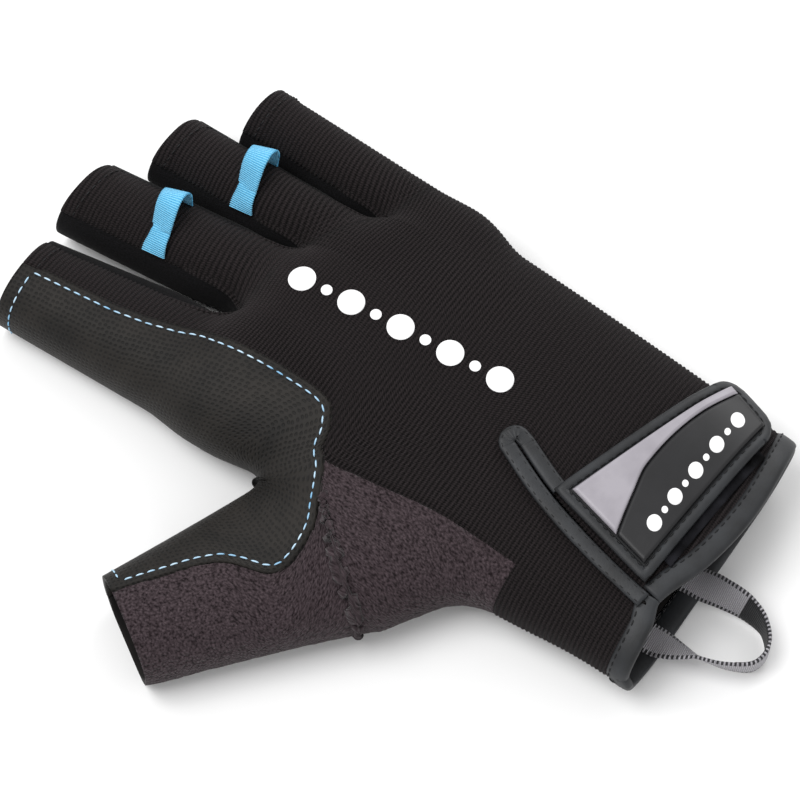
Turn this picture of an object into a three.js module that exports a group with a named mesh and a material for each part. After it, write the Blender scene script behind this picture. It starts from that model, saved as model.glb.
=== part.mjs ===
// A half-finger glove for climbing on fixed cables, lying palm down, as a right hand wears it.
// Millimetres. +X is the little-finger side, -X the thumb side, +Y the way the fingers point
// and +Z up. The origin is under the middle of the whole glove, on the surface it lies on.
//
// Every panel is cut out of one imagined form, the hand that would fill the glove. A panel is
// a sheet ruled between two seams: rays leave the inside of the form and stop where they meet
// its skin, and the sheet gets its wall inward, along the skin's own normal.

import * as THREE from 'three';

// Driving dimensions in millimetres
const GLOVE_LENGTH = 194; // cuff edge to the tip of the middle finger stall
const PALM_WIDTH = 88; // across the knuckles
const HAND_HEIGHT = 29; // over the knuckles, palm to back
const FINGER_WIDTH = 22; // the middle finger stall
const FINGER_HEIGHT = 21;
const THUMB_LENGTH = 60; // from the root of the thumb stall to its opening
const THUMB_WIDTH = 29; // across the opening of the thumb stall
const THUMB_HEIGHT = 24;
const CLOTH = 1.5; // wall of the sewn panels
const HEM = 2.2; // wall where a stall's end is folded back and stitched
const SEAM_GAP = 0.3; // between pieces that are sewn to each other
const SEAM_HEIGHT = 4.5; // of the side seams, above the surface the glove lies on
const CUFF_BINDING = 6; // width of the rolled tape round the cuff
const CUFF_ROLL = 2.8; // its thickness
const SLIT_BINDING = 4.2; // width of the tape on each side of the slit
const SLIT_ROLL = 1.8;
const SLIT_OPENING = 0.5; // between the two sides of the slit
const STRAP_LENGTH = 56; // root to free end, along the skin
const STRAP_ROOT = 33; // width where it is sewn in
const STRAP_END = 19.5; // width at its free end
const STRAP_THICKNESS = 1.4;
const STRAP_CORNER = 5;
const STRAP_RIM = 3; // bound edge round the two moulded patches
const PATCH_THICKNESS = 0.9;
const FASTENER_THICKNESS = 0.9; // loop fabric on the flap, under the strap
const TAB_WIDTH = 7; // ribbon on the middle and ring fingers, to pull the glove off
const TAB_THICKNESS = 0.8;
const TAB_RISE = 6; // how far the ribbon stands off the finger
const TAPE_WIDTH = 8.5; // woven pull loop at the cuff
const TAPE_THICKNESS = 1;
const LOOP_REACH = 23.5; // from the cuff edge to the end of the loop
const SINK = 2.2; // how far the round form is pressed flat on the surface

// The hand without its stalls, a row for each section from the cuff to the knuckles.
// along is a share of the glove's length, middle and half are shares of the palm's width,
// height is a share of the hand's.
const SECTIONS = [
  { along: -0.05, middle: 0.0, half: 0.442, height: 0.88 },
  { along: 0.08, middle: 0.01, half: 0.452, height: 0.9 },
  { along: 0.2, middle: 0.005, half: 0.472, height: 0.94 },
  { along: 0.36, middle: 0.01, half: 0.482, height: 1.0 },
  { along: 0.52, middle: 0.005, half: 0.5, height: 1.03 },
  { along: 0.64, middle: 0.012, half: 0.508, height: 1.0 },
  { along: 0.75, middle: 0.02, half: 0.515, height: 0.94 },
];

// Where the hand ends between the fingers: across is a share of the palm's width,
// along a share of the length.
const KNUCKLES = [
  { across: -0.5, along: 0.72 },
  { across: -0.127, along: 0.705 },
  { across: 0.137, along: 0.683 },
  { across: 0.354, along: 0.62 },
  { across: 0.54, along: 0.56 },
];

// The four finger stalls. root and tip are the ends of a stall's axis; x is a share of the
// palm's width, y of the length. rootHalf and tipHalf are shares of the finger width, slant is
// how far the opening runs back towards the little finger, left and right are the angles of
// the back panel's seams from straight up, in degrees.
const FINGERS = [
  {
    name: 'index', rootX: -0.295, rootY: 0.6, tipX: -0.38, tipY: 0.99,
    rootHalf: 0.77, tipHalf: 0.545, slant: 0.0, left: 4, right: 58,
  },
  {
    name: 'middle', rootX: 0.04, rootY: 0.6, tipX: -0.05, tipY: 1.0,
    rootHalf: 0.48, tipHalf: 0.46, slant: 0.12, left: -55, right: 58,
  },
  {
    name: 'ring', rootX: 0.252, rootY: 0.56, tipX: 0.235, tipY: 0.94,
    rootHalf: 0.385, tipHalf: 0.42, slant: 0.16, left: -55, right: 58,
  },
  {
    name: 'little', rootX: 0.45, rootY: 0.48, tipX: 0.47, tipY: 0.865,
    rootHalf: 0.36, tipHalf: 0.395, slant: 0.12, left: -55,
  },
];

// The thumb stall: root of its axis, and the way it points in degrees from +X.
const THUMB = {
  rootX: -0.54, rootY: 0.415, heading: 147.5, rootHalf: 0.86, tipHalf: 0.5, rootHeight: 1.12,
};

// Seam between the back panel and the side pieces on the thumb side, from the cuff up to the
// index opening: across is a share of the palm's width, along of the length.
const THUMB_SEAM = [
  { across: -0.385, along: 0.03 },
  { across: -0.365, along: 0.12 },
  { across: -0.362, along: 0.2 },
  { across: -0.362, along: 0.32 },
  { across: -0.395, along: 0.43 },
  { across: -0.41, along: 0.49 },
  { across: -0.33, along: 0.505 },
  { across: -0.262, along: 0.53 },
  { across: -0.25, along: 0.6 },
  { across: -0.27, along: 0.73 },
];
const PINCH = 5; // row of that seam where the grip, towelling and back panels meet
const SIDE_END = 2; // row where the towelling ends and the ribbed cuff side begins

// Seam between grip leather and towelling on top of the thumb, from the pinch to the opening:
// out is a share of the thumb's length, up a share of its half width there.
const LOBE_SEAM = [
  { out: 0.05, up: 0.38 },
  { out: 0.14, up: 0.05 },
  { out: 0.34, up: -0.26 },
  { out: 0.56, up: 0.18 },
  { out: 0.8, up: 0.36 },
  { out: 1.0, up: 0.5 },
];

// The slit in the back, from its closed end to the cuff
const SLIT = [
  { across: -0.065, along: 0.289 },
  { across: -0.135, along: 0.212 },
  { across: -0.188, along: 0.12 },
  { across: -0.225, along: 0.03 },
];

// The cuff's edge seen from above: the flap bulges out past the palm
const CUFF_EDGE = [
  { across: -0.5, along: 0.0 },
  { across: -0.3, along: 0.006 },
  { across: -0.22, along: 0.016 },
  { across: -0.05, along: -0.01 },
  { across: 0.15, along: -0.022 },
  { across: 0.35, along: -0.014 },
  { across: 0.5, along: 0.0 },
];

const rad = THREE.MathUtils.degToRad;
const lerp = (a, b, t) => a + (b - a) * t;
const mix = (a, b, t) => a.map((value, i) => lerp(value, b[i], t));
const add = (a, b, scale = 1) => a.map((value, i) => value + b[i] * scale);
const unit = (a) => add([0, 0, 0], a, 1 / Math.hypot(...a));
const distance = (a, b) => Math.hypot(...add(a, b, -1));
const cross = (a, b) => [
  a[1] * b[2] - a[2] * b[1],
  a[2] * b[0] - a[0] * b[2],
  a[0] * b[1] - a[1] * b[0],
];
const ease = (t) => t * t * (3 - 2 * t);
const clamp = (t) => Math.min(1, Math.max(0, t));

// Reads a column of a table at a value of its key, on a smooth curve through the rows
function read(table, key, at, column) {
  const last = table.length - 2;
  let i = 0;
  while (i < last && at > table[i + 1][key]) i += 1;
  const row = (k) => table[Math.min(Math.max(k, 0), last + 1)];
  const slope = (k) => {
    const [low, high] = [row(k - 1), row(k + 1)];
    return (high[column] - low[column]) / (high[key] - low[key]);
  };
  const span = row(i + 1)[key] - row(i)[key];
  const t = clamp((at - row(i)[key]) / span);
  const bulge = t * (1 - t) * span;
  const line = lerp(row(i)[column], row(i + 1)[column], ease(t));
  return line + bulge * ((1 - t) * slope(i) - t * slope(i + 1));
}

// A point on the smooth curve through the rows of a table, at from 0 to 1 by row
function follow(table, at) {
  const points = table.map((row) => new THREE.Vector3(...Object.values(row).slice(0, 2), 0));
  const point = new THREE.CatmullRomCurve3(points, false, 'centripetal').getPoint(clamp(at));
  return [point.x, point.y];
}

// The form: signed distances, below nothing inside

// Smooth union and smooth cut of two distances
const join = (a, b, k) => Math.min(a, b) - (Math.max(k - Math.abs(a - b), 0) ** 2) / (4 * k);
const cut = (a, b, k) => -join(-a, -b, k);

// Distance to a tube with a squarish oval section
function oval(across, up, half, halfHeight, power) {
  const reach = Math.hypot(across, up);
  const share = (Math.abs(across / half) ** power + Math.abs(up / halfHeight) ** power) ** (1 / power);
  return share < 1e-6 ? -Math.min(half, halfHeight) : reach * (1 - 1 / share);
}

const HAND_POWER = 2.5; // 2 is an ellipse, more is squarer
const STALL_POWER = 2.25;
const STALL_ROOT_HEIGHT = 1.15; // of a finger stall, as a share of its height at the tip
const THUMB_FLARE = 0.8; // how evenly the thumb stall narrows, 1 being straight
const WEB = 8; // how softly the stalls grow out of the hand
const KNUCKLE_ROUND = 12;
const PRESS_ROUND = 2;

function section(y) {
  const at = y / GLOVE_LENGTH;
  return {
    middle: PALM_WIDTH * read(SECTIONS, 'along', at, 'middle'),
    half: PALM_WIDTH * read(SECTIONS, 'along', at, 'half'),
    high: (HAND_HEIGHT * read(SECTIONS, 'along', at, 'height') + SINK) / 2,
  };
}

function handForm([x, y, z]) {
  const { middle, half, high } = section(y);
  const end = GLOVE_LENGTH * read(KNUCKLES, 'across', x / PALM_WIDTH, 'along');
  return cut(oval(x - middle, z + SINK - high, half, high, HAND_POWER), y - end, KNUCKLE_ROUND);
}

// Axis point and half width of a finger stall at a y
function stall(finger, y) {
  const rootY = finger.rootY * GLOVE_LENGTH;
  const t = clamp((y - rootY) / ((finger.tipY - finger.rootY) * GLOVE_LENGTH));
  return {
    x: PALM_WIDTH * lerp(finger.rootX, finger.tipX, t),
    half: FINGER_WIDTH * lerp(finger.rootHalf, finger.tipHalf, t),
    high: (FINGER_HEIGHT * lerp(STALL_ROOT_HEIGHT, 1, t) + SINK) / 2,
    rootY,
  };
}

function fingerForm(finger, [x, y, z]) {
  const { x: middle, half, high, rootY } = stall(finger, y);
  return Math.max(oval(x - middle, z + SINK - high, half, high, STALL_POWER), rootY - y);
}

const THUMB_ROOT = [THUMB.rootX * PALM_WIDTH, THUMB.rootY * GLOVE_LENGTH];
const THUMB_OUT = [Math.cos(rad(THUMB.heading)), Math.sin(rad(THUMB.heading))];
const THUMB_UP = [THUMB_OUT[1], -THUMB_OUT[0]];

// Half width and half height of the thumb stall at a distance out from its root
function thumbAt(out) {
  const t = clamp(out / THUMB_LENGTH);
  return {
    half: THUMB_WIDTH * lerp(THUMB.rootHalf, THUMB.tipHalf, t ** THUMB_FLARE),
    high: (THUMB_HEIGHT * lerp(THUMB.rootHeight, 1, t) + SINK) / 2,
  };
}

function thumbPoint(out, up, z) {
  return [
    THUMB_ROOT[0] + out * THUMB_OUT[0] + up * THUMB_UP[0],
    THUMB_ROOT[1] + out * THUMB_OUT[1] + up * THUMB_UP[1],
    z,
  ];
}

function thumbForm([x, y, z]) {
  const [dx, dy] = [x - THUMB_ROOT[0], y - THUMB_ROOT[1]];
  const out = dx * THUMB_OUT[0] + dy * THUMB_OUT[1];
  const up = dx * THUMB_UP[0] + dy * THUMB_UP[1];
  const { half, high } = thumbAt(out);
  return Math.max(oval(up, z + SINK - high, half, high, STALL_POWER), -out - half);
}

function form(p) {
  const fingers = Math.min(...FINGERS.map((finger) => fingerForm(finger, p)));
  const hand = join(join(handForm(p), fingers, WEB), thumbForm(p), WEB);
  return cut(hand, -p[2], PRESS_ROUND);
}

const NORMAL_STEP = 0.4;
function skinNormal(p) {
  const slope = [0, 1, 2].map((i) => {
    const shift = [0, 0, 0];
    shift[i] = NORMAL_STEP;
    return form(add(p, shift)) - form(add(p, shift, -1));
  });
  return unit(slope);
}

// Where a ray from inside the form meets its skin. The form runs on past the openings, so a
// ray that looks along it stops at its reach.
const STRIDE = 1;
const HALVINGS = 18; // of an interval, to find a place in it
function skin({ from, way }) {
  let far = 0;
  while (form(add(from, way, far)) < 0 && far < PALM_WIDTH) far += STRIDE;
  let near = Math.max(far - STRIDE, 0);
  for (let i = 0; i < HALVINGS; i += 1) {
    const middle = (near + far) / 2;
    if (form(add(from, way, middle)) < 0) near = middle;
    else far = middle;
  }
  return add(from, way, far);
}

// Seeds: where a ray starts and which way it goes

const MID_HEIGHT = 0.42; // of the hand's height, where rays start
const EDGE_ROUND = 0.9; // radius of the fan round the hand's edge, as a share of half its height

// A seed at a place across the hand, measured over the skin: straight up or down in the
// middle, and fanned round the edge past the point where the edge's round begins
function handSeed(x, y, up = 1) {
  const { middle, half, high } = section(y);
  const round = high * EDGE_ROUND;
  const side = Math.sign(x - middle);
  const past = Math.abs(x - middle) - (half - round);
  const turn = Math.max(past, 0) / round;
  return {
    from: [middle + side * (Math.abs(x - middle) - Math.max(past, 0)), y, high * 2 * MID_HEIGHT],
    way: [side * Math.sin(turn), 0, up * Math.cos(turn)],
  };
}

// A seed in a finger stall, at an angle in degrees from straight up towards +X
function fingerSeed(finger, y, angle) {
  const { x, high } = stall(finger, y);
  return { from: [x, y, high - SINK / 2], way: [Math.sin(rad(angle)), 0, Math.cos(rad(angle))] };
}

const blend = (a, b, t) => ({ from: mix(a.from, b.from, t), way: unit(mix(a.way, b.way, t)) });

// Rows of skin points ruled between two lists of seeds
function ruled(left, right, steps) {
  return left.map((seed, k) => Array.from(
    { length: steps + 1 },
    (_, i) => skin(blend(seed, right[k], i / steps)),
  ));
}

// Draws the ends of each row in by the given distances, to leave the gap that a seam keeps
function inset(rows, left, right) {
  return rows.map((row, k) => {
    const points = [...row];
    const last = points.length - 1;
    const pull = (i, to, by) => {
      const room = distance(points[i], points[to]);
      return room > by ? mix(points[i], points[to], by / room) : points[i];
    };
    const [start, end] = [left, right].map((by) => (typeof by === 'function' ? by(k) : by));
    if (start) points[0] = pull(0, 1, start);
    if (end) points[last] = pull(last, last - 1, end);
    return points;
  });
}

const turned = (rows) => rows[0].map((_, i) => rows.map((row) => row[i]));

// Makes a closed solid of patches of skin points: points that coincide are joined, each gets
// a partner below the skin, and a wall closes every free edge
const SAME_POINT = 0.002;
function sheet(patches, { wall = () => CLOTH, lift = () => 0 } = {}) {
  const keys = new Map();
  const outer = [];
  const inner = [];
  const number = (p) => {
    const key = p.map((value) => Math.round(value / SAME_POINT)).join();
    if (!keys.has(key)) {
      const normal = skinNormal(p);
      keys.set(key, outer.length);
      outer.push(add(p, normal, lift(p)));
      inner.push(add(p, normal, lift(p) - wall(p)));
    }
    return keys.get(key);
  };
  const faces = [];
  const face = (a, b, c) => {
    if (a !== b && b !== c && c !== a) faces.push([a, b, c]);
  };
  for (const rows of patches) {
    const index = rows.map((row) => row.map(number));
    for (let k = 0; k + 1 < rows.length; k += 1) {
      for (let i = 0; i + 1 < rows[k].length; i += 1) {
        const [a, b, c, d] = [index[k][i], index[k][i + 1], index[k + 1][i + 1], index[k + 1][i]];
        if (distance(outer[a], outer[c]) < distance(outer[b], outer[d])) {
          face(a, b, c);
          face(a, c, d);
        } else {
          face(a, b, d);
          face(b, c, d);
        }
      }
    }
  }
  const count = outer.length;
  const edges = new Set(faces.flatMap(([a, b, c]) => [`${a},${b}`, `${b},${c}`, `${c},${a}`]));
  const solid = faces.flatMap(([a, b, c]) => [[a, b, c], [a + count, c + count, b + count]]);
  for (const edge of edges) {
    const [a, b] = edge.split(',').map(Number);
    if (!edges.has(`${b},${a}`)) solid.push([a, a + count, b], [b, a + count, b + count]);
  }
  return { points: [...outer, ...inner], faces: solid };
}

// A bar of oval section swept along skin points, for rolled bindings
function rail(path, width, over, under, sides = 8) {
  const stations = path.map((p, i) => {
    const normal = skinNormal(p);
    const ahead = unit(add(path[Math.min(i + 1, path.length - 1)], path[Math.max(i - 1, 0)], -1));
    return { p, normal, side: unit(cross(normal, ahead)) };
  });
  return sweep(stations.map(({ p, normal, side }) => Array.from({ length: sides }, (_, j) => {
    const turn = (2 * Math.PI * (j + 0.5)) / sides;
    const thick = (over(p) + under(p)) / 2;
    const up = (over(p) - under(p)) / 2 + thick * Math.sin(turn);
    return add(add(p, normal, up), side, (width / 2) * Math.cos(turn));
  })));
}

// A ribbon with a flat section: each station gives its middle, its width's way and its face's
function ribbon(stations, width, thickness) {
  return sweep(stations.map(({ p, along, face }) => [[1, 1], [-1, 1], [-1, -1], [1, -1]].map(
    ([u, v]) => add(add(p, along, (u * width) / 2), face, (v * thickness) / 2),
  )));
}

// Joins rings of points into a closed bar with flat ends
function sweep(rings) {
  const sides = rings[0].length;
  const faces = [];
  for (let k = 0; k + 1 < rings.length; k += 1) {
    for (let j = 0; j < sides; j += 1) {
      const [a, b] = [k * sides + j, k * sides + ((j + 1) % sides)];
      faces.push([a, b, a + sides], [b, b + sides, a + sides]);
    }
  }
  const last = (rings.length - 1) * sides;
  for (let j = 1; j + 1 < sides; j += 1) {
    faces.push([0, j + 1, j], [last, last + j, last + j + 1]);
  }
  return { points: rings.flat(), faces };
}

const glove = new THREE.Group();

function addPiece(name, { points, faces }, color, roughness) {
  const geometry = new THREE.BufferGeometry();
  const position = new Float32Array(points.flat());
  geometry.setAttribute('position', new THREE.BufferAttribute(position, 3));
  geometry.setIndex(faces.flat());
  // Turns the piece the right way out if its faces point in
  let volume = 0;
  for (const [a, b, c] of faces) {
    const [p, q] = [points[a], cross(points[b], points[c])];
    volume += p[0] * q[0] + p[1] * q[1] + p[2] * q[2];
  }
  if (volume < 0) geometry.setIndex(faces.flatMap(([a, b, c]) => [a, c, b]));
  geometry.computeVertexNormals();
  const mesh = new THREE.Mesh(geometry, new THREE.MeshStandardMaterial({ color, roughness }));
  mesh.name = name;
  glove.add(mesh);
}

// Plan of the seams, shared by the pieces on either side of them

const GAP = SEAM_GAP / 2;
const HAND_ROWS = 12; // from the slit's closed end to the knuckles
const CUFF_ROWS = 6; // from the cuff to the slit's closed end
const STALL_ROWS = 6;
const STALL_CLOSER = 1.15; // above 1 the rows lie closer near the knuckles
const THUMB_ROWS = 6;
const COLUMNS = [4, 5, 4, 6]; // across the index, middle, ring and little finger backs
const SIDE_COLUMNS = 5; // down the sides
const SLIT_ROW = 3; // row of the thumb seam that is level with the slit's closed end
const SEAM_ROWS = THUMB_SEAM.length - 1;

const scaled = ([x, y]) => [x * PALM_WIDTH, y * GLOVE_LENGTH];
const slitAt = (at) => scaled(follow(SLIT, at));
const thumbSeamAt = (row) => scaled(follow(THUMB_SEAM, row / SEAM_ROWS));
const cuffY = (x) => GLOVE_LENGTH * read(CUFF_EDGE, 'across', x / PALM_WIDTH, 'along');
const panelEnd = (x) => cuffY(x) + CUFF_BINDING + SEAM_GAP;
const underEnd = panelEnd(PALM_WIDTH / 2);

// Place across the hand, over the skin, of the side seam on one side
function sideSeam(y, side) {
  const { middle, half, high } = section(y);
  let [low, top] = [half - high, half + high];
  for (let i = 0; i < HALVINGS; i += 1) {
    const x = (low + top) / 2;
    if (skin(handSeed(middle + side * x, y))[2] > SEAM_HEIGHT) low = x;
    else top = x;
  }
  return middle + side * low;
}

function spread(from, to, steps) {
  return Array.from({ length: steps + 1 }, (_, i) => mix(from, to, i / steps));
}

// Boundaries between the finger backs at the knuckles
const FORK_RISE = 1; // how far past the hand's end the backs part
const forks = [0, 1, 2].map((i) => {
  const y = GLOVE_LENGTH * KNUCKLES[i + 1].along + FORK_RISE;
  const [a, b] = [stall(FINGERS[i], y), stall(FINGERS[i + 1], y)];
  return [(a.x + a.half + b.x - b.half) / 2, y];
});
const LITTLE_START = 0.58; // where the little finger's stall starts on its outer side
const littleY = GLOVE_LENGTH * LITTLE_START;
const knuckleEnds = [thumbSeamAt(SEAM_ROWS), ...forks, [sideSeam(littleY, 1), littleY]];
const knuckleLine = COLUMNS.flatMap((steps, i) => spread(knuckleEnds[i], knuckleEnds[i + 1], steps)
  .slice(i ? 1 : 0));

const slitTop = slitAt(0);
const slitRight = [sideSeam(slitTop[1], 1), slitTop[1]];
const flapColumns = COLUMNS[1] + COLUMNS[2] + COLUMNS[3];
const slitLine = [
  ...spread(thumbSeamAt(SLIT_ROW), slitTop, COLUMNS[0]),
  ...spread(slitTop, slitRight, flapColumns).slice(1),
];

const grid = (rows, row) => Array.from({ length: rows + 1 }, (_, k) => row(k / rows, k));
const onSkin = (plan) => plan.map((row) => row.map(([x, y]) => skin(handSeed(x, y))));

// Back of the hand: rows between the slit line and the knuckle line, their thumb ends kept on
// the thumb seam and their other ends on the side seam. What the thumb seam bends by, the
// columns next to it follow less and less.
const FOLLOW_POWER = 1.5;
const backPlan = grid(HAND_ROWS, (t) => {
  const shift = add(
    thumbSeamAt(lerp(SLIT_ROW, SEAM_ROWS, t)),
    mix(slitLine[0], knuckleLine[0], t),
    -1,
  );
  return slitLine.map((low, i) => {
    const [x, y] = mix(low, knuckleLine[i], t);
    if (i === slitLine.length - 1) return [sideSeam(y, 1), y];
    return add([x, y], shift, (1 - clamp(i / COLUMNS[0])) ** FOLLOW_POWER);
  });
});

// Below the slit's closed end the panel parts into the cuff's thumb side and the flap
const sidePlan = grid(CUFF_ROWS, (t, k) => {
  const edge = add(slitAt(1 - t), [k === CUFF_ROWS ? 0 : SLIT_OPENING / 2, 0], -1);
  return spread(thumbSeamAt(SLIT_ROW * t), edge, COLUMNS[0]).map(([x, y], i) => (
    k === CUFF_ROWS ? slitLine[i] : [x, Math.max(y, panelEnd(x))]
  ));
});
const flapPlan = grid(CUFF_ROWS, (t, k) => {
  const edge = add(slitAt(1 - t), [k === CUFF_ROWS ? 0 : SLIT_OPENING / 2, 0]);
  return spread(edge, [slitRight[0], edge[1]], flapColumns).map(([x], i) => {
    const y = lerp(panelEnd(x), slitLine[COLUMNS[0] + i][1], t);
    return i === flapColumns ? [sideSeam(y, 1), y] : [x, y];
  });
});

// The stalls. A row's rays leave the hand's straight ones for the stall's own fan within a
// few rows of the knuckles.
const TURN = [0, 0.5, 0.85, 1];
const turnAt = (k) => TURN[Math.min(k, TURN.length - 1)];

function tipY(finger, x) {
  return finger.tipY * GLOVE_LENGTH - finger.slant * (x - finger.tipX * PALM_WIDTH);
}
const stallY = (finger, [x, y], k) => lerp(y, tipY(finger, x), (k / STALL_ROWS) ** STALL_CLOSER);

// A seed on a side seam: a level ray at the seam's height, in degrees from +X
const seamSeed = (x, y, heading) => ({
  from: [x, y, SEAM_HEIGHT],
  way: [Math.cos(rad(heading)), Math.sin(rad(heading)), 0],
});
const stallSeam = (finger, y, heading) => seamSeed(stall(finger, y).x, y, heading);

// The angle, in a stall's fan, of the seam on the little finger's outer side
function seamAngle(finger, y) {
  const { x, high } = stall(finger, y);
  const [reach, , height] = skin(stallSeam(finger, y, 0));
  return 90 + THREE.MathUtils.radToDeg(Math.atan2(high - SINK / 2 - height, reach - x));
}

function backSeeds(finger, number) {
  const start = COLUMNS.slice(0, number).reduce((sum, steps) => sum + steps, 0);
  const line = knuckleLine.slice(start, start + COLUMNS[number] + 1);
  return grid(STALL_ROWS, (_, k) => line.map(([x, y], i) => {
    const rowY = stallY(finger, [x, y], k);
    const last = finger.right ?? seamAngle(finger, rowY);
    if (k && !finger.right && i === COLUMNS[number]) return stallSeam(finger, rowY, 0);
    const fan = fingerSeed(finger, rowY, lerp(finger.left, last, i / COLUMNS[number]));
    return blend(handSeed(x, k ? rowY : y), fan, turnAt(k));
  }));
}

const stallSeeds = FINGERS.map(backSeeds);

// Draws the rows of a stall in at its seams, but keeps the knuckle row it shares with the hand
function stallRows(rows, left, right) {
  return [inset([rows[0]], left, right)[0], ...inset(rows.slice(1), GAP, GAP)];
}

const HEM_REACH = 1; // rows nearer to the opening than this get the hem's wall
function stallWall(p) {
  const near = FINGERS.some((finger) => (
    Math.abs(tipY(finger, p[0]) - p[1]) < HEM_REACH
    && Math.abs(p[0] - stall(finger, p[1]).x) < FINGER_WIDTH / 2
  ));
  return near ? HEM : CLOTH;
}

// Piece: back panel, ribbed cloth over the hand and the four finger backs
addPiece('back_panel', sheet([
  inset(onSkin(sidePlan), GAP, 0),
  inset(onSkin(flapPlan), 0, GAP),
  inset(onSkin(backPlan), GAP, GAP),
  ...stallSeeds.map((seeds, i) => stallRows(
    seeds.map((row) => row.map(skin)),
    i === 0 ? GAP : 0,
    i === 3 ? GAP : 0,
  )),
], { wall: stallWall }), '#252122', 0.95);

// Pieces: fourchettes, the smooth side walls between two fingers. Each runs down one stall,
// round the fork and up the next.
const FORK_DEPTH = 14; // how far back of the fork its rays start

function forkSeeds(number) {
  const [a, b] = [FINGERS[number], FINGERS[number + 1]];
  const [x, y] = forks[number];
  const base = [x, y - FORK_DEPTH];
  const low = (finger, k, heading) => (
    k ? stallSeam(finger, stallY(finger, [x, y], k), heading) : seamSeed(...base, 90)
  );
  const rowsA = grid(STALL_ROWS, (_, k) => low(a, k, 0));
  const rowsB = grid(STALL_ROWS, (_, k) => low(b, k, 180));
  const topA = stallSeeds[number].map((row) => row[row.length - 1]);
  const topB = stallSeeds[number + 1].map((row) => row[0]);
  return {
    top: [...topA.reverse(), ...topB.slice(1)],
    low: [...[...rowsA].reverse(), ...rowsB.slice(1)],
    lowLeft: rowsA,
    lowRight: rowsB,
  };
}

const forkPanels = [0, 1, 2].map(forkSeeds);
const between = ['index_middle', 'middle_ring', 'ring_little'];
const FORK_CLEAR = 0.6; // what the side wall keeps from the back at the fork itself
const atFork = (k) => (k === STALL_ROWS ? FORK_CLEAR : GAP);
forkPanels.forEach(({ top, low }, i) => {
  const rows = ruled(top, low, SIDE_COLUMNS);
  // The row in the fork itself fans out from one place inside the hand
  const [x, y] = forks[i];
  const heart = [x, y - FORK_DEPTH, HAND_HEIGHT * MID_HEIGHT];
  const [first, last] = [skin(top[STALL_ROWS]), skin(low[STALL_ROWS])];
  rows[STALL_ROWS] = spread(first, last, SIDE_COLUMNS).map((aim) => (
    skin({ from: heart, way: unit(add(aim, heart, -1)) })
  ));
  addPiece(`fourchette_${between[i]}`, sheet([inset(rows, atFork, atFork)]), '#151516', 0.8);
});

// The thumb side. Seeds of the seams on top, from the index opening to the pinch, out along
// the thumb, and from the pinch down to the cuff.
const pinchRow = Math.round(((PINCH - SLIT_ROW) / (SEAM_ROWS - SLIT_ROW)) * HAND_ROWS);
const sideEndRow = Math.round((SIDE_END / SLIT_ROW) * CUFF_ROWS);
const planSeeds = (plan) => plan.map((row) => handSeed(...row[0]));
const indexTop = stallSeeds[0].map((row) => row[0]).reverse();
const webTop = planSeeds(backPlan.slice(pinchRow)).reverse();
const heelTop = planSeeds(backPlan.slice(0, pinchRow + 1)).reverse();
const sideTop = planSeeds(sidePlan).reverse();

const lobeTop = grid(THUMB_ROWS, (t) => {
  const [out, up] = follow(LOBE_SEAM, t);
  const { half, high } = thumbAt(out * THUMB_LENGTH);
  return { from: thumbPoint(out * THUMB_LENGTH, up * half, high - SINK / 2), way: [0, 0, 1] };
});

// Piece: grip panel, embossed leather on the index finger's outer side, the web and the
// upper half of the thumb
const thumbHeading = THUMB.heading - 90;
const webHeading = (180 + thumbHeading) / 2;
const WEB_ROOT = scaled([-0.44, 0.475]);
const WEB_TURN = 0.8; // how soon the web's lower seam leaves the index for the thumb
const STALL_START = 0.1; // where the thumb's own side seams start, as a share of its length
const FIRST_TURN = 0.3; // share of the turn from web to thumb made at that start

const indexLow = grid(STALL_ROWS, (_, k) => {
  const y = stallY(FINGERS[0], thumbSeamAt(SEAM_ROWS), k);
  return stallSeam(FINGERS[0], y, 180);
}).reverse();
const webRows = webTop.length - 1;
const webLow = grid(webRows, (t) => {
  const start = indexLow[STALL_ROWS].from;
  const [x, y] = mix(start.slice(0, 2), WEB_ROOT, t ** WEB_TURN);
  return seamSeed(x, y, lerp(180, webHeading, ease(t)));
});
const thumbLow = grid(THUMB_ROWS, (t) => {
  const out = lerp(STALL_START, 1, t) * THUMB_LENGTH;
  const turn = clamp(t * 2 + FIRST_TURN);
  const root = mix(WEB_ROOT, thumbPoint(out, 0, 0).slice(0, 2), turn);
  return seamSeed(root[0], root[1], lerp(webHeading, thumbHeading, turn));
});
const gripTop = [...indexTop, ...webTop.slice(1), ...lobeTop];
const gripLow = [...indexLow, ...webLow.slice(1), ...thumbLow];
addPiece('grip_panel', sheet([
  inset(ruled(gripTop, gripLow, SIDE_COLUMNS + 1), GAP, GAP),
]), '#23211e', 0.6);

// Piece: towelling panel over the back and heel of the thumb, down to the wrist
const HEEL_END = scaled([-0.3, 0.2]);
const thumbBack = grid(THUMB_ROWS, (t) => {
  const point = thumbPoint(lerp(1, STALL_START, t) * THUMB_LENGTH, 0, 0);
  return seamSeed(point[0], point[1], thumbHeading + 180);
});
const heelSeeds = [...heelTop, ...sideTop.slice(1, CUFF_ROWS - sideEndRow + 1)];
const heelLow = grid(heelSeeds.length - 1, (t) => {
  const [x, y] = mix(thumbPoint(STALL_START * THUMB_LENGTH, 0, 0), HEEL_END, t);
  return seamSeed(x, y, lerp(thumbHeading + 180, 180, t));
});
const heelRows = ruled(
  [...[...lobeTop].reverse(), ...heelSeeds],
  [...thumbBack, ...heelLow],
  SIDE_COLUMNS + 2,
);
addPiece('thumb_terry_panel', sheet([inset(heelRows, GAP, GAP)]), '#453b40', 1);

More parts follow.
